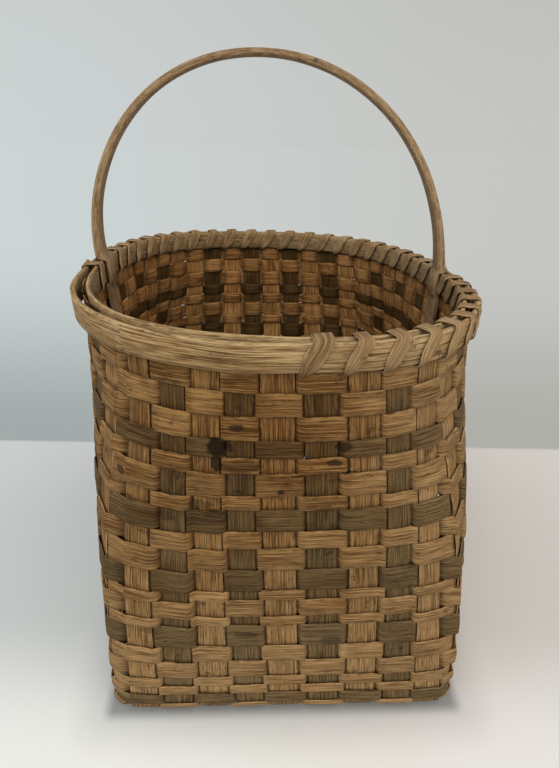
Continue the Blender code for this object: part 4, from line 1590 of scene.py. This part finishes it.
@dataclass
class Lashing:
    """The strap that spirals round both hoops and steps over the handle."""

    uprights: Uprights
    thickness: float = 0.0009
    crown: float = 0.0004
    width: float = 0.0092
    narrowest_share: float = 0.92
    width_vary: float = 0.26
    first_broad: float = 1.35
    shoulder: float = 0.006
    neck: float = 0.0040
    gap: float = 0.0005
    corner: float = 0.0026
    first_gap: int = 4
    last_gap: int = 41
    turn_steps: int = 32
    corner_steps: int = 5
    tail: float = 0.010
    tail_steps: int = 11
    least_bulge: float = 0.0003
    bulge_vary: float = 0.0004
    bulge_lean: float = 0.6
    tone_vary: float = 0.5
    tone_wave: float = 0.2
    tone_waves: int = 3
    # Painted shade where the strap runs low under the hoops
    low_grime: float = 0.5
    low_share: float = 0.7
    width_seed: float = 3.3
    bulge_seed: float = 1.9
    tone_seed: float = 4.7
    wave_seed: float = 4.0
    profile: Profile = field(default_factory=Profile)

    def ring(self) -> np.ndarray:
        """Return the strap's middle line round the hoops.

        Returns:
            Places out from the wall and up from the rim, from the low outside corner
            up, over, down the inside and back under.
        """
        wall = self.uprights.wall
        skin = self.gap + self.thickness / 2
        reach = wall.hoop_offset + wall.hoop_thickness + skin
        top = wall.hoop_lift + skin
        low = -wall.hoop_height - skin
        found = []
        corners = ((reach, low), (reach, top), (-reach, top), (-reach, low))
        for number, (x, z) in enumerate(corners):
            middle = np.array((x - math.copysign(self.corner, x),
                               z - math.copysign(self.corner, z)))
            for step in range(self.corner_steps):
                angle = QUARTER_TURN * (number - 1 + step / (self.corner_steps - 1))
                found.append(middle + self.corner * np.array((math.cos(angle), math.sin(angle))))
        return np.array(found)

    def wraps(self) -> list[Triple]:
        """Return each wrap's places round the rim: low outside, top and low inside.

        Returns:
            The places, counted in uprights.
        """
        right_foot = self.uprights.long_stakes + self.uprights.cross_middle
        blocked = (right_foot, right_foot + self.uprights.count // 2)
        found, gap = [], self.first_gap
        while gap < self.last_gap:
            over = gap + 2 if gap + 1 in blocked else gap + 1
            found.append((gap + 0.5, float(over), over + 0.5))
            gap = over
        return found

    def route(self) -> tuple[np.ndarray, ...]:
        """Return the strap's stations, from its tucked end on, turn after turn.

        Returns:
            Their places round the rim, how far out from the wall and up from the rim
            they lie, their widths and the numbers of their turns.
        """
        ring = self.ring()
        closed = np.concatenate((ring, ring[:1]))
        walked = travelled(closed)
        marks = walked[self.corner_steps // 2::self.corner_steps]
        marks = np.append(marks[:4], marks[0] + walked[-1])
        tail = np.linspace(marks[3] - self.tail, marks[4], self.tail_steps + 1)[:-1]
        parts = [(np.full(self.tail_steps, self.first_gap + 0.5), tail,
                  np.full(self.tail_steps, self.neck), np.zeros(self.tail_steps))]
        samples = np.linspace(marks[0], marks[4], self.turn_steps + 1)[:-1]
        shoulders = (marks[0], marks[0] + self.shoulder, marks[3] - self.shoulder,
                     marks[3], marks[4])
        for number, (low, top, last) in enumerate(self.wraps()):
            broad = self.width * (
                self.narrowest_share + self.width_vary * chance(number * self.width_seed))
            broad *= 1.0 if number else self.first_broad
            parts.append((np.interp(samples, marks, (low, top, top, last, last)), samples,
                          np.interp(samples, shoulders,
                                    (self.neck, broad, broad, self.neck, self.neck)),
                          np.full(len(samples), number + 1.0)))
        place, spots, width, seed = (np.concatenate(item) for item in zip(*parts))
        spots = np.mod(spots, walked[-1])
        out = np.interp(spots, walked, closed[:, 0])
        up = np.interp(spots, walked, closed[:, 1])
        return evened(place), out, up, evened(width), seed

    def strip(self) -> Strip:
        """Return the shape of the whole strap.

        Returns:
            The open strip.
        """
        wall = self.uprights.wall
        place, out, up, width, seed = self.route()
        points, facing = self.uprights.rim_frame(place, np.clip(1 + up / wall.rise, 0, 1))
        bulge = self.least_bulge + self.bulge_vary * chance(seed * self.bulge_seed)
        ring_out = unit(np.stack((out, (up + wall.hoop_height / 2) * self.bulge_lean), -1))
        points = points + facing * (out + ring_out[:, 0] * bulge)[:, None]
        points[:, 2] += np.clip(up, 0, None) + ring_out[:, 1] * bulge
        ahead = unit(np.gradient(points, axis=0))
        lift = np.array((0.0, 0.0, 1.0))
        slope = np.gradient(np.stack((out, up), -1), axis=0)
        turn_out = unit(np.stack((slope[:, 1], -slope[:, 0]), -1) + TINY)
        turn_out = np.stack([evened(turn_out[:, axis]) for axis in (0, 1)], -1)
        surface = facing * turn_out[:, :1] + lift * turn_out[:, 1:]
        side = unit(np.cross(ahead, surface))
        surface = unit(np.cross(side, ahead))
        shares, heights = self.profile.offsets(self.thickness / 2, self.crown)
        loops = (points[:, None] + side[:, None] * (width[:, None] * shares / 2)[..., None]
                 + surface[:, None] * heights[None, :, None])
        tone = 0.5 + self.tone_vary * (chance(seed * self.tone_seed) - 0.5)
        tone = tone + self.tone_wave * wander(place * self.tone_waves, self.wave_seed)
        down = -up / wall.hoop_height
        # Painted shade on the strap where it runs low under the hoops
        grime = self.low_grime * np.clip((down - self.low_share) / (1 - self.low_share), 0, 1)
        return Strip(loops, travelled(points), self.profile.across(self.width),
                     np.clip(tone, 0, 1)[:, None], self.profile.edge()[None, :],
                     grime[:, None])

    def dress(self, dresser: Dresser) -> None:
        """Build and finish the strap."""
        dresser.dress(self.strip(), "oak_rim_lashing", "rim_lashing", Slot.LASHING)


@dataclass
class BowHandle:
    """The bent bow over the basket, with notched feet and flat tails inside the wall."""

    uprights: Uprights
    rise: float = 0.150
    width: float = 0.0125
    thickness: float = 0.0052
    foot_width: float = 0.0175
    foot_thickness: float = 0.0088
    foot_overhang: float = 0.0004
    taper_power: float = 0.25
    edge: float = 0.0018
    lean: float = 0.008
    lean_power: float = 0.45
    gap: float = 0.0005
    tail_length: float = 0.075
    tail_thickness: float = 0.0055
    tip_thickness: float = 0.0025
    notch_thickness: float = 0.0036
    notch_ramp: float = 0.0010
    notch_rise_share: float = 0.4
    notch_width_share: float = 0.97
    tail_steps: int = 8
    tip_width_share: float = 0.80
    tip_spread: float = 3
    top_drop: float = 0.0010
    strap_neck: float = 0.0034
    squareness: float = 2.07
    stations: int = 110
    foot_crowding: float = 0.12
    turn_step: float = 0.01
    edge_steps: int = 4
    edge_share: float = 0.42
    sway: float = 0.0008
    sway_waves: int = 4
    thickness_vary: float = 0.05
    width_vary: float = 0.04
    tone_wave: float = 0.3
    tone_waves: int = 30
    worn_reach: float = 1.05
    edge_wear: float = 0.8
    # Painted shade on the tails below the hoops
    foot_grime: float = 0.25
    sway_seed: float = 6.6
    tone_seed: float = 8.1

    def section(self, thickness: float, width: float) -> np.ndarray:
        """Return the outline of a flat bar with rounded edges, across and out.

        Args:
            thickness: The bar's thickness.
            width: The bar's width.

        Returns:
            The outline's corners.
        """
        edge = min(self.edge, thickness * self.edge_share)
        found = []
        for number, (sideways, outward) in enumerate(((1, 1), (-1, 1), (-1, -1), (1, -1))):
            for step in range(self.edge_steps):
                angle = QUARTER_TURN * (number + step / (self.edge_steps - 1))
                found.append((sideways * (width / 2 - edge) + edge * math.cos(angle),
                              outward * (thickness / 2 - edge) + edge * math.sin(angle)))
        return np.array(found)

    def foot(self, number: int) -> list[tuple[np.ndarray, ...]]:
        """Return one foot's sections, from its tip up to the hoops' top.

        Args:
            number: The upright that it stands over.

        Returns:
            For each section its place, sideways and outward directions and its two sizes.
        """
        wall = self.uprights.wall
        low = wall.share_below(wall.hoop_height)
        below = -wall.weave_offset - wall.splint / 2 - self.gap
        notch = -wall.hoop_offset - wall.hoop_thickness - self.gap
        top = self.top_drop + self.gap
        width = self.uprights.rim_pitch - self.strap_neck - 2 * self.gap
        tip = wall.share_below(self.tail_length)
        slim_notch = width * self.notch_width_share
        found = []
        for share in np.linspace(tip, low, self.tail_steps + 1)[:-1]:
            part = (share - tip) / (low - tip)
            thick = self.tip_thickness + (self.tail_thickness - self.tip_thickness) * part
            slim = width * (self.tip_width_share
                            + (1 - self.tip_width_share) * blend_step(part * self.tip_spread))
            found.append((share, -self.gap * part, below, thick, slim))
        found += [
            (low, -self.gap - self.notch_ramp, below, self.tail_thickness, width),
            (low, -self.gap, notch, self.notch_thickness, slim_notch),
            (1.0, top - self.notch_ramp * self.notch_rise_share, notch,
             self.notch_thickness, slim_notch),
            (1.0, top + self.notch_ramp, self.foot_overhang, self.foot_thickness,
             self.foot_width),
        ]
        sections = []
        for share, lift, outer, thick, wide in found:
            middle, tangent, normal, _ = (item[0] for item in self.uprights.band(
                np.array([number]), np.array([share])))
            place = middle + normal * (outer - thick / 2) + np.array((0.0, 0.0, lift))
            sections.append((place, tangent * math.copysign(1, tangent[1]), normal, thick, wide))
        return sections

    def bow_point(self, turn: np.ndarray, left: np.ndarray, right: np.ndarray) -> np.ndarray:
        """Return points on the bow's middle line, from the right foot to the left.

        Args:
            turn: Angles along the bow, 0 at the right foot.
            left: The left foot's top.
            right: The right foot's top.

        Returns:
            The points.
        """
        power = 2 / self.squareness
        across = np.sign(np.cos(turn)) * np.abs(np.cos(turn)) ** power
        lift = self.rise * np.abs(np.sin(turn)) ** power
        lean = -self.lean * np.abs(np.sin(turn)) ** self.lean_power
        place = (left + right) / 2 + (right - left) / 2 * across[:, None]
        return place + np.stack((lean, np.zeros_like(lean), lift), -1)

    def strip(self) -> Strip:
        """Return the shape of the whole handle.

        Returns:
            The open strip.
        """
        right_number = self.uprights.long_stakes + self.uprights.cross_middle
        right = self.foot(right_number)
        left = self.foot(right_number + self.uprights.count // 2)
        ends = left[-1][0], right[-1][0]
        turn = np.linspace(0, math.pi, self.stations + 2)[1:-1]
        turn = turn - self.foot_crowding * np.sin(2 * turn)
        middle = self.bow_point(turn, *ends)
        ahead = unit(self.bow_point(turn + self.turn_step, *ends)
                     - self.bow_point(turn - self.turn_step, *ends))
        sideways = np.array((0.0, 1.0, 0.0))
        normal = unit(np.cross(sideways, ahead))
        drift = wander(turn * self.sway_waves, self.sway_seed)
        taper = np.sin(turn) ** self.taper_power
        thick = self.foot_thickness + (self.thickness - self.foot_thickness) * taper
        wide = self.foot_width + (self.width - self.foot_width) * taper
        middle = middle + sideways * (self.sway * drift)[:, None]
        thick = thick * (1 + self.thickness_vary * drift)
        wide = wide * (1 - self.width_vary * drift)
        bow = [(middle[index], sideways, normal[index], thick[index], wide[index])
               for index in range(len(turn))]
        loops = []
        for place, side, out, thickness, width in right + bow + left[::-1]:
            outline = self.section(thickness, width)
            loops.append(place + side * outline[:, :1] + out * outline[:, 1:])
        loops = np.array(loops)
        outline = self.section(self.thickness, self.width)
        across = travelled(np.concatenate((outline, outline[:1])))
        along = travelled(loops.mean(axis=1))
        tone = 0.5 + self.tone_wave * wander(along * self.tone_waves, self.tone_seed)
        near_edge = np.abs(outline[:, 0]) > self.width / 2 - self.edge * self.worn_reach
        # Painted shade on the tails below the hoops
        grime = np.zeros(len(loops))
        tail = self.tail_steps + 1
        grime[:tail] = grime[-tail:] = self.foot_grime
        return Strip(loops, along, across, np.clip(tone, 0, 1)[:, None],
                     np.where(near_edge, self.edge_wear, 0.0)[None, :], grime[:, None])

    def dress(self, dresser: Dresser) -> None:
        """Build and finish the handle."""
        dresser.dress(self.strip(), "oak_bow_handle", "handle", Slot.HANDLE)


# The studio

@dataclass
class Studio:
    """The pale table, the wall behind it, the soft light and the camera."""

    eye: Triple = (-0.0100, -0.4385, 0.4049)
    yaw: float = -0.0377
    pitch: float = 0.4545
    roll: float = 0.0166
    focal_pixels: float = 525.0
    floor_reach: float = 12.0
    table_edge: float = 0.193
    edge_slant: float = 0.037
    edge_blur: float = 0.004
    near_slant: float = 0.05
    near_span: tuple[float, float] = (-0.225, -0.095)
    side_span: tuple[float, float] = (-0.5, 0.5)
    eye_away: float = 0.45
    least_away: float = 0.05
    eye_level: float = 0.405
    eye_step: float = 0.0115
    wall_span: tuple[float, float] = (0.606, 0.193)
    speckle: Speckle = Speckle((900.0, 900.0, 900.0), 1.0, 2.0, 0.55)
    speckle_span: tuple[float, float, float, float] = (0.3, 0.7, 0.0, 0.03)
    speckle_colour: Triple = (0.45, 0.45, 0.45)
    near_pair: ColourPair = ((0.80, 0.81, 0.775), (0.77, 0.75, 0.715))
    far_pair: ColourPair = ((0.565, 0.59, 0.58), (0.597, 0.567, 0.53))
    low_pair: ColourPair = ((0.362, 0.407, 0.402), (0.434, 0.429, 0.402))
    high_pair: ColourPair = ((0.604, 0.658, 0.658), (0.565, 0.571, 0.546))
    roughness: float = 0.9
    specular: float = 0.1
    foot_middle: tuple[float, float] = (0.0075, -0.0115)
    foot_half: tuple[float, float] = (0.130, 0.170)
    close_shade: tuple[float, float, float, float] = (0.0, 0.012, 0.45, 1.0)
    wide_shade: tuple[float, float, float, float] = (0.0, 0.045, 0.80, 1.0)
    sky_span: tuple[float, float] = (-0.45, 0.45)
    sky_rise: tuple[float, float] = (0.0, 0.25)
    sky_middle: ColourPair = ((0.598, 0.645, 0.645), (0.555, 0.560, 0.535))
    sky_top: ColourPair = ((0.584, 0.620, 0.610), (0.520, 0.525, 0.500))
    sky_light: Triple = (0.95, 0.97, 1.0)
    sky_strength: float = 0.45
    lamps: tuple[tuple[str, Triple, float, Triple, float], ...] = (
        ("key_light", (-0.10, -1.00, 0.90), 1.55, (1.0, 0.98, 0.95), 45),
        ("left_light", (-1.0, -0.35, 0.8), 1.0, (0.94, 0.97, 1.0), 80),
        ("warm_light", (1.0, -0.40, 0.8), 1.1, (1.0, 0.93, 0.83), 80))
    clip: tuple[float, float] = (0.01, 100.0)

    def add_floor(self) -> None:
        """Add the table, pale in front, and the blue-grey wall behind its edge."""
        mesh = bpy.data.meshes.new("studio_floor")
        reach = self.floor_reach
        corners = [(-reach, -reach, 0), (reach, -reach, 0), (reach, reach, 0), (-reach, reach, 0)]
        mesh.from_pydata(corners, [], [(0, 1, 2, 3)])
        floor = bpy.data.objects.new("studio_floor", mesh)
        bpy.context.scene.collection.objects.link(floor)
        material = bpy.data.materials.new("studio_floor_look")
        material.use_nodes = True
        sheet = NodeSheet(material.node_tree)
        shader = material.node_tree.nodes["Principled BSDF"]
        place = sheet.add("ShaderNodeTexCoord").outputs["Object"]
        split = sheet.add("ShaderNodeSeparateXYZ")
        sheet.feed(split.inputs[0], place)
        across, deep = split.outputs[0], split.outputs[1]
        away = sheet.sum("MAXIMUM", sheet.sum("ADD", deep, self.eye_away), self.least_away)
        side = sheet.span(sheet.sum("DIVIDE", across, away), *self.side_span)
        near, far, low, high = (sheet.mix(side, *pair) for pair in (
            self.near_pair, self.far_pair, self.low_pair, self.high_pair))
        # Painted light on the table: paler near the front, darker further back, cooler to the left
        # and warmer to the right
        slanted = sheet.sum("ADD", deep, sheet.sum("MULTIPLY", across, self.near_slant))
        table = sheet.mix(sheet.span(slanted, *self.near_span), near, far)
        speckle = sheet.span(sheet.noise(place, self.speckle), *self.speckle_span)
        table = sheet.mix(speckle, table, self.speckle_colour)
        table = sheet.mix(self.shade(sheet, across, deep), (0.0, 0.0, 0.0), table)
        # The wall behind is painted on the floor plane as a glow that only the camera sees, darker
        # near the table edge
        rise = sheet.sum("DIVIDE", self.eye_level,
                         sheet.sum("SUBTRACT", away, self.eye_step))
        wall = sheet.mix(sheet.span(rise, *self.wall_span), low, high)
        sheet.feed(shader.inputs["Base Color"], table)
        shader.inputs["Roughness"].default_value = self.roughness
        shader.inputs["Specular IOR Level"].default_value = self.specular
        glow = sheet.add("ShaderNodeEmission")
        sheet.feed(glow.inputs["Color"], wall)
        path = sheet.add("ShaderNodeLightPath")
        edge = sheet.sum("ADD", deep, sheet.sum("MULTIPLY", across, self.edge_slant))
        behind = sheet.span(edge, self.table_edge - self.edge_blur,
                            self.table_edge + self.edge_blur)
        blend = sheet.add("ShaderNodeMixShader")
        sheet.feed(blend.inputs[0], sheet.sum("MULTIPLY", behind, path.outputs["Is Camera Ray"]))
        sheet.feed(blend.inputs[1], shader.outputs[0])
        sheet.feed(blend.inputs[2], glow.outputs[0])
        end = material.node_tree.nodes["Material Output"]
        sheet.feed(end.inputs["Surface"], blend.outputs[0])
        mesh.materials.append(material)
        log.info("studio_floor: stage")

    def shade(self, sheet: NodeSheet, across: object, deep: object) -> bpy.types.NodeSocket:
        """Return how much light the table keeps close round the basket's foot.

        Args:
            sheet: Where its nodes go.
            across: The place from left to right.
            deep: The place from front to back.

        Returns:
            The share of light that is kept.
        """
        past = []
        for value, middle, half in zip((across, deep), self.foot_middle, self.foot_half):
            away = sheet.sum("ABSOLUTE", sheet.sum("SUBTRACT", value, middle))
            away = sheet.sum("MAXIMUM", sheet.sum("SUBTRACT", away, half), 0.0)
            past.append(sheet.sum("MULTIPLY", away, away))
        away = sheet.sum("SQRT", sheet.sum("ADD", *past))
        return sheet.sum("MULTIPLY", sheet.span(away, *self.close_shade),
                         sheet.span(away, *self.wide_shade))

    def add_light(self) -> None:
        """Add an even sky, a broad lamp over the viewer and one at each side."""
        world = bpy.data.worlds.new("studio_sky")
        bpy.context.scene.world = world
        world.use_nodes = True
        sheet = NodeSheet(world.node_tree)
        world.node_tree.nodes.clear()
        end = sheet.add("ShaderNodeOutputWorld")
        seen, lit = sheet.add("ShaderNodeBackground"), sheet.add("ShaderNodeBackground")
        split = sheet.add("ShaderNodeSeparateXYZ")
        sheet.feed(split.inputs[0], sheet.add("ShaderNodeTexCoord").outputs["Generated"])
        side = sheet.span(split.outputs["X"], *self.sky_span)
        sky = sheet.mix(sheet.span(split.outputs["Z"], *self.sky_rise),
                        sheet.mix(side, *self.sky_middle), sheet.mix(side, *self.sky_top))
        sheet.feed(seen.inputs["Color"], sky)
        sheet.feed(lit.inputs["Color"], self.sky_light)
        lit.inputs["Strength"].default_value = self.sky_strength
        path = sheet.add("ShaderNodeLightPath")
        blend = sheet.add("ShaderNodeMixShader")
        sheet.feed(blend.inputs[0], path.outputs["Is Camera Ray"])
        sheet.feed(blend.inputs[1], lit.outputs[0])
        sheet.feed(blend.inputs[2], seen.outputs[0])
        sheet.feed(end.inputs["Surface"], blend.outputs[0])
        for lamp in self.lamps:
            self.add_sun(*lamp)

    @staticmethod
    def add_sun(name: str, toward: Triple, strength: float,
                colour: Triple, spread: float) -> None:
        """Add one broad lamp.

        Args:
            name: Its name.
            toward: The direction that it shines from.
            strength: Its strength.
            colour: Its colour.
            spread: How wide it is, in degrees.
        """
        light = bpy.data.lights.new(name, "SUN")
        light.energy = strength
        light.color = colour
        light.angle = math.radians(spread)
        lamp = bpy.data.objects.new(name, light)
        lamp.rotation_euler = Vector(toward).to_track_quat("Z", "Y").to_euler()
        bpy.context.scene.collection.objects.link(lamp)

    def add_camera(self) -> None:
        """Add the camera at the photograph's place and angle."""
        data = bpy.data.cameras.new("camera")
        data.sensor_width = SENSOR
        data.lens = SENSOR * self.focal_pixels / PICTURE_HEIGHT
        data.clip_start, data.clip_end = self.clip
        camera = bpy.data.objects.new("camera", data)
        level = np.array((math.cos(self.yaw), math.sin(self.yaw), 0.0))
        ahead = np.array((-math.sin(self.yaw) * math.cos(self.pitch),
                          math.cos(self.yaw) * math.cos(self.pitch), -math.sin(self.pitch)))
        down = np.cross(ahead, level)
        right = level * math.cos(self.roll) - down * math.sin(self.roll)
        below = level * math.sin(self.roll) + down * math.cos(self.roll)
        matrix = np.eye(4)
        matrix[:3, 0], matrix[:3, 1], matrix[:3, 2] = right, -below, -ahead
        matrix[:3, 3] = self.eye
        camera.matrix_world = Matrix(matrix.tolist())
        bpy.context.scene.collection.objects.link(camera)
        bpy.context.scene.camera = camera

    def build(self) -> None:
        """Set up the whole studio."""
        self.add_floor()
        self.add_light()
        self.add_camera()
        bpy.context.scene.view_settings.view_transform = "Standard"


def main() -> None:
    """Build and dress the basket, piece by piece, and note its size."""
    logging.basicConfig(level=logging.INFO, format="%(name)s: %(message)s")
    Studio().build()
    dresser = Dresser()
    wall = Wall()
    uprights = Uprights(wall)
    rows = Rows(wall)
    Stakes(uprights, rows).dress(dresser)
    Weavers(uprights, rows).dress(dresser)
    Hoops(uprights).dress(dresser)
    Lashing(uprights).dress(dresser)
    BowHandle(uprights).dress(dresser)


if __name__ == "__main__":
    main()
